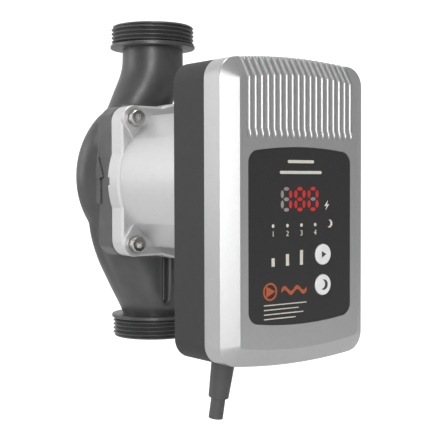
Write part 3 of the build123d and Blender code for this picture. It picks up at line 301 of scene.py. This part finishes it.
def casting_inside():
    """Water ways, pump chamber, seats of the motor's spigot, and bolt holes. The channel round
    the impeller is a torus: a circle of (r, y) turned about the motor's axis."""
    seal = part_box("housing_seal")
    seat = max(seal[0][1], seal[1][1]) / MM
    mouth = -23.0                             # every cut from the motor side starts ahead of it
    chamber_y, eye_y, wall_y = -8.0, -9.0, 10.1
    suction = oval_column(
        [
            (-2, 0, 0, 14.5, 14.5), (24, 0, 0, 14.5, 14.5), (39, 0, 5, 18.0, 11.0),
            (54, 0, wall_y, 20.5, 8.2), (102, 0, wall_y, 15.5, 8.2),
        ]
    )
    delivery = oval_column(
        [
            (112, -12, -9.5, 12.0, 6.5), (122, -12, -6.5, 13.0, 7.0), (133, -8.2, -2, 13.5, 10.0),
            (143, -3.6, 0, 14.0, 13.0), (152, 0, 0, 14.5, 14.3), (182, 0, 0, 14.5, 14.5),
        ]
    )
    channel_radius, channel_y, channel_half = 33.5, -9.0, 5.0
    angle, around = turn(96)[None, :], turn(24)[:, None]
    r = channel_radius + channel_half * np.cos(around)
    y = np.broadcast_to(channel_y + channel_half * np.sin(around), (24, 96))
    channel = hoop(np.stack([r * np.cos(angle), y, MOTOR_Z + r * np.sin(angle)], axis=-1))
    bolt, bolt_radius, bolt_end = 34, 2.6, -9.7
    holes = [
        y_rod(bolt_radius, bolt_end, mouth, x, MOTOR_Z + z, 24)
        for x in (-bolt, bolt) for z in (-bolt, bolt)
    ]
    side, groove_end = [(3.3, 18), (6.3, 22), (6.3, 47.5), (3.3, 47.5)], -15.8
    grooves = [prism([(s * x, z) for x, z in side], mouth, groove_end) for s in (-1, 1)]
    chamber_radius, spigot_radius, eye_radius = 31.0, 36.0, 14.0
    chamber = y_rod(chamber_radius, chamber_y, mouth)
    spigot = y_rod(spigot_radius, seat, mouth)
    eye = y_rod(eye_radius, wall_y, eye_y)
    return joined([suction, delivery, channel, chamber, spigot, eye, *holes, *grooves])


def port_ring(flip, pitch, depth):
    """One threaded port with its collar: a closed profile of (r, z) turned round Z.
    Over the thread the radius drops by depth times a V of z / pitch - angle / (2 pi), which
    fades in from the face."""
    columns, crest = 120, 23.9
    flank, crest_flat = 1.15, 0.12            # slope of the V, and what is cut off its top
    fade_start, fade_length, face_drop = 0.3, 1.2, 0.5
    thread = [(crest, z) for z in np.linspace(0.9, 10.3, 100)]
    head = [(14.35, 13.6), (14.35, 0.9), (15.2, 0.0), (22.5, 0.0), (23.1, 0.35)]
    tail = [
        (22.2, 10.5), (22.2, 10.9), (24.2, 10.9), (24.6, 11.3),
        (24.6, 12.6), (24.2, 13.0), (18.4, 13.0), (17.2, 13.6),
    ]
    profile = np.array(head + thread + tail)
    angle = turn(columns)[None, :]
    r = np.broadcast_to(profile[:, :1], (len(profile), columns)).copy()
    z = np.broadcast_to(profile[:, 1:], r.shape)
    rows = slice(len(head), len(head) + len(thread))
    wave = np.abs(2 * np.mod(z[rows] / pitch - angle / (2 * math.pi), 1.0) - 1)
    fade = np.clip((z[rows] - fade_start) / fade_length, 0, 1)
    r[rows] -= depth * np.clip(flank * wave - crest_flat, 0, 1) * fade + (1 - fade) * face_drop
    height = PORT_LENGTH - z if flip else z
    return hoop(np.stack([r * np.cos(angle), r * np.sin(angle), height], axis=-1))


def flow_arrow():
    """An arrow pointing up, standing proud of the flange's side: an outline of (y, z) carried
    along X."""
    outline = [
        (-9.9, 77.5), (-9.9, 92.4), (-12.6, 92.4), (-7.6, 103.5),
        (-2.6, 92.4), (-5.3, 92.4), (-5.3, 77.5),
    ]
    front_x, root_x = -41.75, -40.0
    return prism(outline, front_x, root_x, axis=0)


# ---------------------------------------------------------------- cord
def across(direction):
    """Two unit vectors square to a direction and to each other."""
    side = np.cross(direction, [0.0, 1.0, 0.0])
    side /= np.linalg.norm(side)
    return side, np.cross(direction, side)


def cord_point(distance):
    """A place on the cord's line, measured outwards from the exit."""
    return CORD_EXIT + CORD_LEAN * distance


def relief_sleeve():
    """A tapered sleeve round the cord: a closed profile of (distance, r), with four shallow
    moulding pits where the radius dips by a bell curve of angle and distance."""
    columns, start, end = 96, -0.6, 17.0
    wide, narrow, bore = 5.9, 5.05, 3.72
    pit_depth, pit_width, pit_ring = 0.45, 0.55, 5.5
    taper = np.linspace(start, end, 60)
    body = wide + (narrow - wide) * (taper - start) / (end - start)
    outer = [(-9.0, wide), (-9.0, 7.5), (-6.0, 7.5), (-6.0, 5.95), (-0.7, 5.92)]
    tip = [(17.35, 4.9), (17.5, 4.6), (17.5, bore), (-9.0, bore)]
    profile = np.array(outer + list(zip(taper, body)) + tip)
    angle = turn(columns)[None, :]
    along = profile[:, :1]
    r = np.broadcast_to(profile[:, 1:], (len(profile), columns)).copy()
    on_body = slice(len(outer), len(outer) + len(taper))
    for pit_angle, pit_place in ((0.55, 3.2), (0.55, 12.6), (3.7, 3.2), (3.7, 12.6)):
        aside = np.abs(np.mod(angle - pit_angle + math.pi, 2 * math.pi) - math.pi) * pit_ring
        apart = (aside / pit_width) ** 2 + ((along[on_body] - pit_place) / pit_width) ** 2
        r[on_body] -= pit_depth * np.exp(-apart)
    side, other = across(CORD_LEAN)
    spoke = np.cos(angle)[..., None] * side + np.sin(angle)[..., None] * other
    return hoop(CORD_EXIT + along[..., None] * CORD_LEAN + r[..., None] * spoke)


def core_stub(angle, radius, start, end):
    """A short rod along the cord, off its middle at the given angle: a profile of (distance, r)
    turned round a line beside the cord's own, with its outer end rounded off."""
    off_middle, rounding = 1.45, 0.15
    side, other = across(CORD_LEAN)
    middle = off_middle * (math.cos(angle) * side + math.sin(angle) * other)
    profile = np.array([(start, radius), (end - rounding, radius), (end, radius - rounding)])
    around = turn(24)[None, :]
    spoke = np.cos(around)[..., None] * side + np.sin(around)[..., None] * other
    rings = CORD_EXIT + middle + profile[:, :1, None] * CORD_LEAN + profile[:, 1:, None] * spoke
    return skin(rings)


# ---------------------------------------------------------------- panel prints
def plate(outline):
    """A thin print on the panel from an outline of (x, z) points."""
    return prism(outline, PRINT_BACK, PRINT_FRONT)


def rule(x, z, width, height):
    """A plain straight bar with round ends: a circle whose two halves are moved apart."""
    angle = turn(24)
    bend = height / 2
    u = bend * np.cos(angle) + np.sign(np.cos(angle)) * (width / 2 - bend)
    return plate(np.stack([x + u, z + bend * np.sin(angle)], axis=-1))


def ring_print(x, z, outer, inner):
    """A flat ring: four circles joined end to end."""
    angle = turn(48)
    levels = ((outer, PRINT_BACK), (outer, PRINT_FRONT), (inner, PRINT_FRONT), (inner, PRINT_BACK))
    rings = [
        np.stack([x + r * np.cos(angle), 0 * angle + y, z + r * np.sin(angle)], axis=-1)
        for r, y in levels
    ]
    return hoop(np.stack(rings))


def wave_print(x0, x1, z, swing, height):
    """A water wave: z + swing sin of two turns over its length, carried as a ribbon."""
    steps = 72
    x = np.linspace(x0, x1, steps)
    middle = z + swing * np.sin((x - x0) / (x1 - x0) * 4 * math.pi)
    upper, lower = middle + height / 2, middle - height / 2
    corners = ((upper, PRINT_BACK), (upper, PRINT_FRONT), (lower, PRINT_FRONT), (lower, PRINT_BACK))
    rings = [np.stack([x, np.full(steps, y), edge], axis=-1) for edge, y in corners]
    return skin(np.stack(rings, axis=1))


def numeral(text, x, z, size):
    """A numeral as a flat form: the font's outline, stood up on the panel."""
    curve = bpy.data.curves.new("numeral", "FONT")
    curve.body, curve.size, curve.align_x, curve.align_y = text, size, "CENTER", "CENTER"
    curve.extrude = PRINT_T / 2
    holder = bpy.data.objects.new("numeral", curve)
    bpy.context.scene.collection.objects.link(holder)
    bpy.context.view_layer.update()
    graph = bpy.context.evaluated_depsgraph_get()
    mesh = bpy.data.meshes.new_from_object(holder.evaluated_get(graph))
    flat = np.empty(len(mesh.vertices) * 3)
    mesh.vertices.foreach_get("co", flat)
    flat = flat.reshape(-1, 3)
    y = PANEL_Y - PRINT_T / 2 - flat[:, 2]
    points = np.stack([x + flat[:, 0], y, z + flat[:, 1]], axis=-1)
    faces = [list(polygon.vertices) for polygon in mesh.polygons]
    bpy.data.objects.remove(holder)
    bpy.data.meshes.remove(mesh)
    bpy.data.curves.remove(curve)
    return points, faces


# ---------------------------------------------------------------- finishes
# colour, roughness, metallic, grains per millimetre, relief in millimetres, mottling
FINISHES = {
    "coated_iron": ((0.046, 0.046, 0.047), 0.36, 0.0, 1.6, 0.035, 0.14),
    "housing_alloy": ((0.54, 0.535, 0.54), 0.42, 0.60, 3.0, 0.012, 0.012),
    "case_plastic": ((0.014, 0.014, 0.0143), 0.62, 0.0, 3.2, 0.020, 0.03),
    "cover_silver": ((0.42, 0.42, 0.423), 0.31, 0.75, 5.0, 0.005, 0.015),
    "panel_film": ((0.014, 0.0135, 0.014), 0.45, 0.0, 4.0, 0.006, 0.03),
    "display_red": ((0.48, 0.014, 0.012), 0.35, 0.0, 3.0, 0.010, 0.20),
    "display_grey": ((0.24, 0.21, 0.21), 0.40, 0.0, 3.0, 0.010, 0.12),
    "panel_print": ((0.55, 0.53, 0.46), 0.45, 0.0, 4.0, 0.006, 0.03),
    "button_white": ((0.68, 0.68, 0.68), 0.38, 0.0, 4.0, 0.008, 0.02),
    "icon_dark": ((0.03, 0.03, 0.032), 0.50, 0.0, 4.0, 0.006, 0.03),
    "zinc_steel": ((0.50, 0.49, 0.47), 0.28, 1.0, 3.0, 0.010, 0.10),
    "stainless": ((0.56, 0.56, 0.56), 0.30, 1.0, 3.0, 0.008, 0.08),
    "seal_rubber": ((0.020, 0.020, 0.020), 0.62, 0.0, 3.0, 0.020, 0.10),
    "impeller_plastic": ((0.55, 0.50, 0.40), 0.50, 0.0, 2.0, 0.020, 0.08),
    "bearing_carbon": ((0.030, 0.030, 0.030), 0.45, 0.1, 3.0, 0.010, 0.10),
    "shaft_ceramic": ((0.80, 0.78, 0.72), 0.18, 0.0, 3.0, 0.004, 0.03),
    "magnet": ((0.050, 0.050, 0.055), 0.50, 0.2, 2.0, 0.020, 0.12),
    "lamination": ((0.30, 0.31, 0.33), 0.45, 0.8, 2.0, 0.020, 0.10),
    "copper": ((0.70, 0.32, 0.14), 0.32, 0.9, 2.0, 0.020, 0.10),
    "board_green": ((0.028, 0.15, 0.055), 0.35, 0.0, 1.0, 0.020, 0.18),
    "part_black": ((0.026, 0.026, 0.029), 0.50, 0.0, 3.0, 0.020, 0.06),
    "part_white": ((0.72, 0.72, 0.69), 0.50, 0.0, 3.0, 0.020, 0.05),
    "capacitor_sleeve": ((0.030, 0.050, 0.120), 0.30, 0.0, 2.0, 0.010, 0.06),
    "heat_gap_pad": ((0.35, 0.37, 0.42), 0.75, 0.0, 2.0, 0.040, 0.10),
    "cable_rubber": ((0.055, 0.053, 0.055), 0.55, 0.0, 3.0, 0.015, 0.06),
    "core_insulation": ((0.20, 0.10, 0.05), 0.45, 0.0, 3.0, 0.010, 0.06),
    "print_orange": ((0.375, 0.079, 0.0215), 0.45, 0.0, 4.0, 0.006, 0.04),
    "core_blue": ((0.03, 0.12, 0.45), 0.40, 0.0, 3.0, 0.010, 0.05),
    "core_green": ((0.30, 0.42, 0.03), 0.40, 0.0, 3.0, 0.010, 0.10),
    "clear_guide": ((0.86, 0.86, 0.88), 0.14, 0.0, 3.0, 0.004, 0.02),
}
BANDED = {"copper": 1.6, "lamination": 2.0}      # windings or sheets per millimetre, along Y
BAND_RELIEF = 0.1                                # millimetres, between windings or sheets
WAVE_UNIT = 3.2                                  # a wave texture's scale for one band per unit
MOTTLE_SIZE = 14                                 # grains across one patch of mottling
GLOWING = "display_red"
OWN_SOCKETS = {                                  # what single finishes set besides the table
    GLOWING: {"Emission Strength": 0.12},
    "button_white": {"Coat Weight": 0.25},
    "coated_iron": {"Specular IOR Level": 0.6},
    "clear_guide": {"Transmission Weight": 0.9, "IOR": 1.49},
}


def grain_group():
    """Shader group: fine grain as a height, and slow mottling as a mask from 0 to 1."""
    group = bpy.data.node_groups.get("Surface grain")
    if group:
        return group
    group = bpy.data.node_groups.new("Surface grain", "ShaderNodeTree")
    for name, way, kind in (
        ("Place", "INPUT", "NodeSocketVector"),
        ("Grain scale", "INPUT", "NodeSocketFloat"),
        ("Mottle scale", "INPUT", "NodeSocketFloat"),
        ("Height", "OUTPUT", "NodeSocketFloat"),
        ("Mottle", "OUTPUT", "NodeSocketFloat"),
    ):
        group.interface.new_socket(name, in_out=way, socket_type=kind)
    start = group.nodes.new("NodeGroupInput")
    end = group.nodes.new("NodeGroupOutput")
    fine = group.nodes.new("ShaderNodeTexNoise")
    fine.inputs["Detail"].default_value = 5.0
    fine.inputs["Roughness"].default_value = 0.62
    slow = group.nodes.new("ShaderNodeTexNoise")
    slow.inputs["Detail"].default_value = 3.0
    spread = group.nodes.new("ShaderNodeMapRange")
    spread.inputs["From Min"].default_value = 0.32
    spread.inputs["From Max"].default_value = 0.68
    link = group.links.new
    link(start.outputs["Place"], fine.inputs["Vector"])
    link(start.outputs["Grain scale"], fine.inputs["Scale"])
    link(start.outputs["Place"], slow.inputs["Vector"])
    link(start.outputs["Mottle scale"], slow.inputs["Scale"])
    link(slow.outputs["Fac"], spread.inputs["Value"])
    link(fine.outputs["Fac"], end.inputs["Height"])
    link(spread.outputs["Result"], end.inputs["Mottle"])
    return group


def banded(nodes, link, place, height, bands_per_mm):
    """The grain's height with even bands along Y added to it."""
    bands = nodes.new("ShaderNodeTexWave")
    bands.bands_direction = "Y"
    bands.inputs["Scale"].default_value = bands_per_mm / MM / WAVE_UNIT
    link(place, bands.inputs["Vector"])
    both = nodes.new("ShaderNodeMath")
    both.operation = "ADD"
    link(height, both.inputs[0])
    link(bands.outputs["Fac"], both.inputs[1])
    return both.outputs["Value"]


def finish(name):
    """The material of one finish: grain relief, mottled colour and roughness."""
    ready = bpy.data.materials.get("finish_" + name)
    if ready:
        return ready
    colour, roughness, metallic, grains, relief, mottling = FINISHES[name]
    chosen = getattr(bpy.context.scene.pump_colours, name, None)
    colour = tuple(chosen) if chosen is not None else colour
    material = bpy.data.materials.new("finish_" + name)
    material.use_nodes = True
    nodes, link = material.node_tree.nodes, material.node_tree.links.new
    shader = nodes["Principled BSDF"]
    shader.inputs["Metallic"].default_value = metallic
    place = nodes.new("ShaderNodeTexCoord")
    grain = nodes.new("ShaderNodeGroup")
    grain.node_tree = grain_group()
    grain.inputs["Grain scale"].default_value = grains / MM
    grain.inputs["Mottle scale"].default_value = grains / MM / MOTTLE_SIZE
    link(place.outputs["Object"], grain.inputs["Place"])
    tint = nodes.new("ShaderNodeMix")
    tint.data_type = "RGBA"
    tint.inputs["A"].default_value = (*(c * (1 - mottling) for c in colour), 1)
    tint.inputs["B"].default_value = (*(min(1, c * (1 + mottling)) for c in colour), 1)
    link(grain.outputs["Mottle"], tint.inputs["Factor"])
    link(tint.outputs["Result"], shader.inputs["Base Color"])
    gloss = nodes.new("ShaderNodeMapRange")
    gloss.inputs["To Min"].default_value = roughness * (1 + mottling / 2)
    gloss.inputs["To Max"].default_value = roughness * (1 - mottling / 2)
    link(grain.outputs["Mottle"], gloss.inputs["Value"])
    link(gloss.outputs["Result"], shader.inputs["Roughness"])
    bump = nodes.new("ShaderNodeBump")
    bump.inputs["Strength"].default_value = 1.0
    bump.inputs["Distance"].default_value = relief * MM
    height = grain.outputs["Height"]
    if name in BANDED:
        height = banded(nodes, link, place.outputs["Object"], height, BANDED[name])
        bump.inputs["Distance"].default_value = BAND_RELIEF * MM
    link(height, bump.inputs["Height"])
    link(bump.outputs["Normal"], shader.inputs["Normal"])
    if name == GLOWING:
        shader.inputs["Emission Color"].default_value = (*colour, 1)
    for socket, value in OWN_SOCKETS.get(name, {}).items():
        shader.inputs[socket].default_value = value
    return material


def keep(piece, slot, body="root", finish_name=None):
    """Gives a new piece its finish and the body that it rides on."""
    piece.data.materials.clear()
    piece.data.materials.append(finish(finish_name or slot))
    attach(piece, body)
    return piece


# ---------------------------------------------------------------- settings
def shade(label, slot):
    """A colour setting that starts as the finish's own colour."""
    return FloatVectorProperty(
        name=label, description=f"Colour of the {label.lower()}", default=FINISHES[slot][0],
        subtype="COLOR", min=0.0, max=1.0,
    )


class PumpColours(bpy.types.PropertyGroup):
    """Colours of the visible parts."""

    coated_iron: shade("Coated casting", "coated_iron")
    housing_alloy: shade("Motor housing", "housing_alloy")
    case_plastic: shade("Rear case", "case_plastic")
    cover_silver: shade("Silver cover", "cover_silver")
    panel_film: shade("Control panel", "panel_film")
    cable_rubber: shade("Mains cord", "cable_rubber")
    print_orange: shade("Orange print", "print_orange")


class PumpSizes(bpy.types.PropertyGroup):
    """Sizes of the casting, the threads and the cord."""

    voxel: FloatProperty(
        name="Casting grid", description="Spacing of the casting's surface grid",
        default=0.00095, unit="LENGTH",
    )
    blend: IntProperty(name="Casting blend", description="Smoothing passes over the casting", default=7)
    pitch: FloatProperty(
        name="Thread pitch", description="Distance between thread crests",
        default=0.002309, unit="LENGTH",
    )
    depth: FloatProperty(
        name="Thread depth", description="Crest to root of the thread", default=0.00145, unit="LENGTH",
    )
    cord_diameter: FloatProperty(
        name="Cord diameter", description="Outside diameter of the mains cord",
        default=0.0072, unit="LENGTH",
    )


class PumpStudio(bpy.types.PropertyGroup):
    """Lights and lens."""

    surround: FloatProperty(
        name="Surround", description="Brightness of the pale surround", default=0.42,
    )
    backlight: FloatProperty(
        name="Backlight", description="Brightness of the surround behind", default=1.0,
    )
    light_power: FloatProperty(
        name="Light power", description="Power that the three soft lights are set by",
        default=9.0, unit="POWER",
    )
    lens: FloatProperty(name="Lens", description="Focal length in millimetres", default=81.71)


# ---------------------------------------------------------------- studio
# name, place, target, width and height in metres, share of the light power
LAMPS = (
    ("left_light", (-1.3, 0.75, 0.5), (0, 0, 0.09), (0.9, 1.1), 0.62),
    ("front_light", (-0.80, -1.10, 0.12), (0, -0.1, 0.07), (0.35, 1.6), 1.8),
    ("top_light", (-0.2, -0.1, 1.3), (0, -0.05, 0.09), (0.7, 0.7), 1.1),
)
CAMERA_PLACE = (-0.32398, -0.49095, 0.08751)     # metres
CAMERA_DEGREES = (37.23, 1.98, -0.16)            # from +Y towards +X, down, and rolled
SENSOR_WIDTH = 36.0
BACKDROP_GLOW = 1.3                              # what the camera sees of floor and surround
BACKLIGHT_FROM = (-0.1, 0.99, 0.0)               # the direction in which the world is brightest
BACKLIGHT_RAMP = (0.1, 0.9)                      # cosines where the backlight starts and is full


def for_camera(tree, lit, seen, output):
    """Joins two shaders: the camera sees the second, and all other rays meet the first."""
    ray = tree.nodes.new("ShaderNodeLightPath")
    either = tree.nodes.new("ShaderNodeMixShader")
    tree.links.new(ray.outputs["Is Camera Ray"], either.inputs["Fac"])
    tree.links.new(lit, either.inputs[1])
    tree.links.new(seen, either.inputs[2])
    tree.links.new(either.outputs["Shader"], tree.nodes[output].inputs["Surface"])


def studio_floor():
    """A wide flat disc: rings of (r cos t, r sin t) at one height."""
    columns = 72
    radius = np.array([5.0, 400.0, 1200.0, 4000.0])[:, None]
    angle = turn(columns)[None, :]
    disc = [radius * np.cos(angle), radius * np.sin(angle), 0 * radius * angle - FLOOR_DROP]
    points = np.stack(disc, axis=-1).reshape(-1, 3)
    faces = grid_faces(len(radius), columns)[:, ::-1].tolist() + [list(range(columns))]
    return points, faces


def studio_white():
    """Matt pale floor that the camera sees as plain white."""
    white = bpy.data.materials.new("studio_white")
    white.use_nodes = True
    tree = white.node_tree
    matt = tree.nodes["Principled BSDF"]
    matt.inputs["Base Color"].default_value = (0.8, 0.8, 0.8, 1)
    matt.inputs["Roughness"].default_value = 1.0
    matt.inputs["Specular IOR Level"].default_value = 0.0
    bright = tree.nodes.new("ShaderNodeEmission")
    bright.inputs["Strength"].default_value = BACKDROP_GLOW
    for_camera(tree, matt.outputs["BSDF"], bright.outputs["Emission"], "Material Output")
    return white


def studio_surround(surround, backlight):
    """A pale world, brighter towards the back by a smooth step of the cosine to BACKLIGHT_FROM."""
    world = bpy.data.worlds.new("surround")
    world.use_nodes = True
    tree = world.node_tree
    nodes, link = tree.nodes, tree.links.new
    sky = nodes["Background"]
    sky.inputs["Color"].default_value = (1, 1, 1, 1)
    pale = nodes.new("ShaderNodeBackground")
    pale.inputs["Color"].default_value = (1, 1, 1, 1)
    pale.inputs["Strength"].default_value = BACKDROP_GLOW
    heading = nodes.new("ShaderNodeTexCoord")
    behind = nodes.new("ShaderNodeVectorMath")
    behind.operation = "DOT_PRODUCT"
    behind.inputs[1].default_value = BACKLIGHT_FROM
    level = nodes.new("ShaderNodeMapRange")
    level.interpolation_type = "SMOOTHSTEP"
    level.inputs["From Min"].default_value, level.inputs["From Max"].default_value = BACKLIGHT_RAMP
    level.inputs["To Min"].default_value = surround
    level.inputs["To Max"].default_value = backlight
    link(heading.outputs["Generated"], behind.inputs[0])
    link(behind.outputs["Value"], level.inputs["Value"])
    link(level.outputs["Result"], sky.inputs["Strength"])
    for_camera(tree, sky.outputs["Background"], pale.outputs["Background"], "World Output")
    return world


def studio_lamp(name, place, target, size, power):
    """A rectangular soft light that faces its target."""
    lamp = bpy.data.lights.new(name, "AREA")
    lamp.shape = "RECTANGLE"
    lamp.size, lamp.size_y = size
    lamp.energy = power
    light = bpy.data.objects.new(name, lamp)
    aim = Vector(target) - Vector(place)
    turned = aim.to_track_quat("-Z", "Y").to_matrix().to_4x4()
    light.matrix_world = Matrix.Translation(place) @ turned
    return light


def studio_camera(focal_length):
    """The camera, from its place, its three angles and its focal length."""
    azimuth, down, roll = (math.radians(a) for a in CAMERA_DEGREES)
    level = math.cos(down)
    ahead = Vector((math.sin(azimuth) * level, math.cos(azimuth) * level, -math.sin(down)))
    right = Vector((math.cos(azimuth), -math.sin(azimuth), 0.0))
    up = right.cross(ahead)
    right, up = (
        right * math.cos(roll) + up * math.sin(roll),
        up * math.cos(roll) - right * math.sin(roll),
    )
    lens = bpy.data.cameras.new("camera")
    lens.lens = focal_length
    lens.sensor_width = SENSOR_WIDTH
    lens.clip_start = 0.01
    camera = bpy.data.objects.new("camera", lens)
    turned = Matrix((right, up, -ahead)).transposed().to_4x4()
    camera.matrix_world = Matrix.Translation(CAMERA_PLACE) @ turned
    return camera


# ---------------------------------------------------------------- operators
class PUMP_OT_cord(bpy.types.Operator):
    """Mains cord, its cut end with three cores, and the tapered strain relief"""

    bl_idname = "pump.cord"
    bl_label = "Mains cord"

    def execute(self, context):
        diameter = context.scene.pump_sizes.cord_diameter
        curve = bpy.data.curves.new("mains_cord", "CURVE")
        curve.dimensions = "3D"
        spline = curve.splines.new("NURBS")
        places = [cord_point(d) for d in (-CORD_INSIDE, -4.0, 12.0, CORD_OUTSIDE)]
        spline.points.add(len(places) - 1)
        spline.points.foreach_set("co", np.array([[*(p * MM), 1.0] for p in places]).ravel())
        spline.order_u = 3
        spline.use_endpoint_u = True
        spline.resolution_u = 8
        curve.bevel_depth = diameter / 2
        curve.bevel_resolution = 8
        curve.use_fill_caps = True
        cord = bpy.data.objects.new("mains_cord", curve)
        context.scene.collection.objects.link(cord)
        keep(cord, "cable_rubber")
        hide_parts("mains_cable")
        ends, root = [], CORD_OUTSIDE - 3
        for k, colour in enumerate(("core_insulation", "core_blue", "core_green")):
            angle = 2 * math.pi * k / 3 + 0.4
            stub = core_stub(angle, CORE_RADIUS, root, CORD_OUTSIDE + CORE_PROUD)
            wire = core_stub(angle, WIRE_RADIUS, root, CORD_OUTSIDE + WIRE_PROUD)
            ends += [
                keep(new_piece("cord_core_" + "abc"[k], stub), "core_insulation", finish_name=colour),
                keep(new_piece("cord_wire_" + "abc"[k], wire), "copper"),
            ]
        sleeve = keep(new_piece("relief_sleeve", relief_sleeve()), "cable_rubber")
        crisp_edges(sleeve)
        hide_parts("strain_relief")
        return {"FINISHED"}


class PUMP_OT_casting(bpy.types.Operator):
    """Cast pump housing with its scroll, necks, flange and water ways"""

    bl_idname = "pump.casting"
    bl_label = "Pump casting"

    def execute(self, context):
        sizes = context.scene.pump_sizes
        casting = new_piece("pump_casting", casting_outside())
        hollow = new_piece("casting_core", casting_inside())
        remeshed(casting, "merge", sizes.voxel)
        cut = casting.modifiers.new("cut", "BOOLEAN")
        cut.operation = "DIFFERENCE"
        cut.solver = "EXACT"
        cut.use_self = True
        cut.object = hollow
        coarser = 1.0
        remeshed(casting, "again", sizes.voxel * coarser)
        soften = casting.modifiers.new("soften", "SMOOTH")
        soften.factor = 0.5
        soften.iterations = sizes.blend
        baked(casting)
        bpy.data.objects.remove(hollow)
        keep(casting, "coated_iron")
        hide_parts("pump_housing")
        arrow = new_piece("flow_arrow", flow_arrow(), smooth=False)
        soft = arrow.modifiers.new("soft", "BEVEL")
        soft.width = 0.3 * MM
        soft.segments = 3
        keep(arrow, "coated_iron")
        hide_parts("pump_housing")
        return {"FINISHED"}


class PUMP_OT_ports(bpy.types.Operator):
    """Both threaded ports with their collars"""

    bl_idname = "pump.ports"
    bl_label = "Threaded ports"

    def execute(self, context):
        sizes = context.scene.pump_sizes
        for name, flip in (("inlet_port", False), ("outlet_port", True)):
            port = new_piece(name, port_ring(flip, sizes.pitch / MM, sizes.depth / MM))
            crisp_edges(port)
            keep(port, "coated_iron")
            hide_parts("pump_housing")
        return {"FINISHED"}


class PUMP_OT_prints(bpy.types.Operator):
    """Plain generic prints on the control panel"""

    bl_idname = "pump.prints"
    bl_label = "Panel prints"

    def execute(self, context):
        marks = [rule(0.0, 98.9, 17.0, TITLE_RULE), rule(0.0, 93.7, 27.0, TITLE_RULE)]
        marks += [
            numeral(str(k + 1), x, MODES_Z, NUMERAL_SIZE) for k, x in enumerate((-17.7, -8.7, 0.3, 9.3))
        ]
        for z, width, shift in (
            (30.6, 27.0, 0.0), (28.4, 22.0, -2.5), (26.2, 25.0, -1.0), (24.0, 20.0, -3.5),
        ):
            marks.append(rule(FINE_X + shift, z, width, FINE_RULE))
        cream = new_piece("panel_marks", joined(marks), smooth=False)
        keep(cream, "panel_print")
        symbol = [
            ring_print(-19.6, SYMBOL_Z, 4.3, 3.4),
            plate([(-22.0, 34.4), (-22.0, 39.6), (-16.3, SYMBOL_Z)]),
            wave_print(-12.6, 3.6, SYMBOL_Z, 1.3, 2.0),
        ]
        orange = new_piece("pump_symbol", joined(symbol), smooth=False)
        keep(orange, "panel_print", finish_name="print_orange")
        return {"FINISHED"}


class PUMP_OT_finishes(bpy.types.Operator):
    """Finishes of every part that keeps its own shape"""

    bl_idname = "pump.finishes"
    bl_label = "Part finishes"

    def execute(self, context):
        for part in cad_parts.values():
            for holder in part.material_slots:
                name = holder.material.name.split(".")[0]
                if name in FINISHES:
                    holder.material = finish(name)
        return {"FINISHED"}


class PUMP_OT_stage(bpy.types.Operator):
    """Pale floor and backdrop, soft lights and camera"""

    bl_idname = "pump.stage"
    bl_label = "Studio"

    def execute(self, context):
        studio = context.scene.pump_studio
        floor = new_piece("studio_floor", studio_floor())
        floor.data.materials.append(studio_white())
        context.scene.world = studio_surround(studio.surround, studio.backlight)
        for name, place, target, size, share in LAMPS:
            light = studio_lamp(name, place, target, size, studio.light_power * share)
            context.scene.collection.objects.link(light)
        context.scene.view_settings.view_transform = "Standard"
        camera = studio_camera(studio.lens)
        context.scene.collection.objects.link(camera)
        context.scene.camera = camera
        return {"FINISHED"}


class PUMP_PT_panel(bpy.types.Panel):
    """Builds the pump's pieces and shows their settings"""

    bl_idname = "PUMP_PT_panel"
    bl_label = "Circulator pump"
    bl_space_type = "VIEW_3D"
    bl_region_type = "UI"
    bl_category = "Pump"

    def draw(self, context):
        for operator in OPERATORS:
            self.layout.operator(operator.bl_idname)
        scene = context.scene
        for settings in (scene.pump_sizes, scene.pump_colours, scene.pump_studio):
            for name in settings.__annotations__:
                self.layout.prop(settings, name)


OPERATORS = (
    PUMP_OT_cord, PUMP_OT_casting, PUMP_OT_ports, PUMP_OT_prints, PUMP_OT_finishes, PUMP_OT_stage,
)
CLASSES = (PumpColours, PumpSizes, PumpStudio, *OPERATORS, PUMP_PT_panel)


def register():
    for cls in CLASSES:
        bpy.utils.register_class(cls)
    bpy.types.Scene.pump_colours = PointerProperty(type=PumpColours)
    bpy.types.Scene.pump_sizes = PointerProperty(type=PumpSizes)
    bpy.types.Scene.pump_studio = PointerProperty(type=PumpStudio)


def unregister():
    del bpy.types.Scene.pump_studio
    del bpy.types.Scene.pump_sizes
    del bpy.types.Scene.pump_colours
    for cls in reversed(CLASSES):
        bpy.utils.unregister_class(cls)


def main():
    register()
    bpy.ops.pump.cord()
    bpy.ops.pump.casting()
    bpy.ops.pump.ports()
    bpy.ops.pump.prints()
    bpy.ops.pump.finishes()
    bpy.ops.pump.stage()
    bpy.context.view_layer.update()


if __name__ == "__main__":
    main()
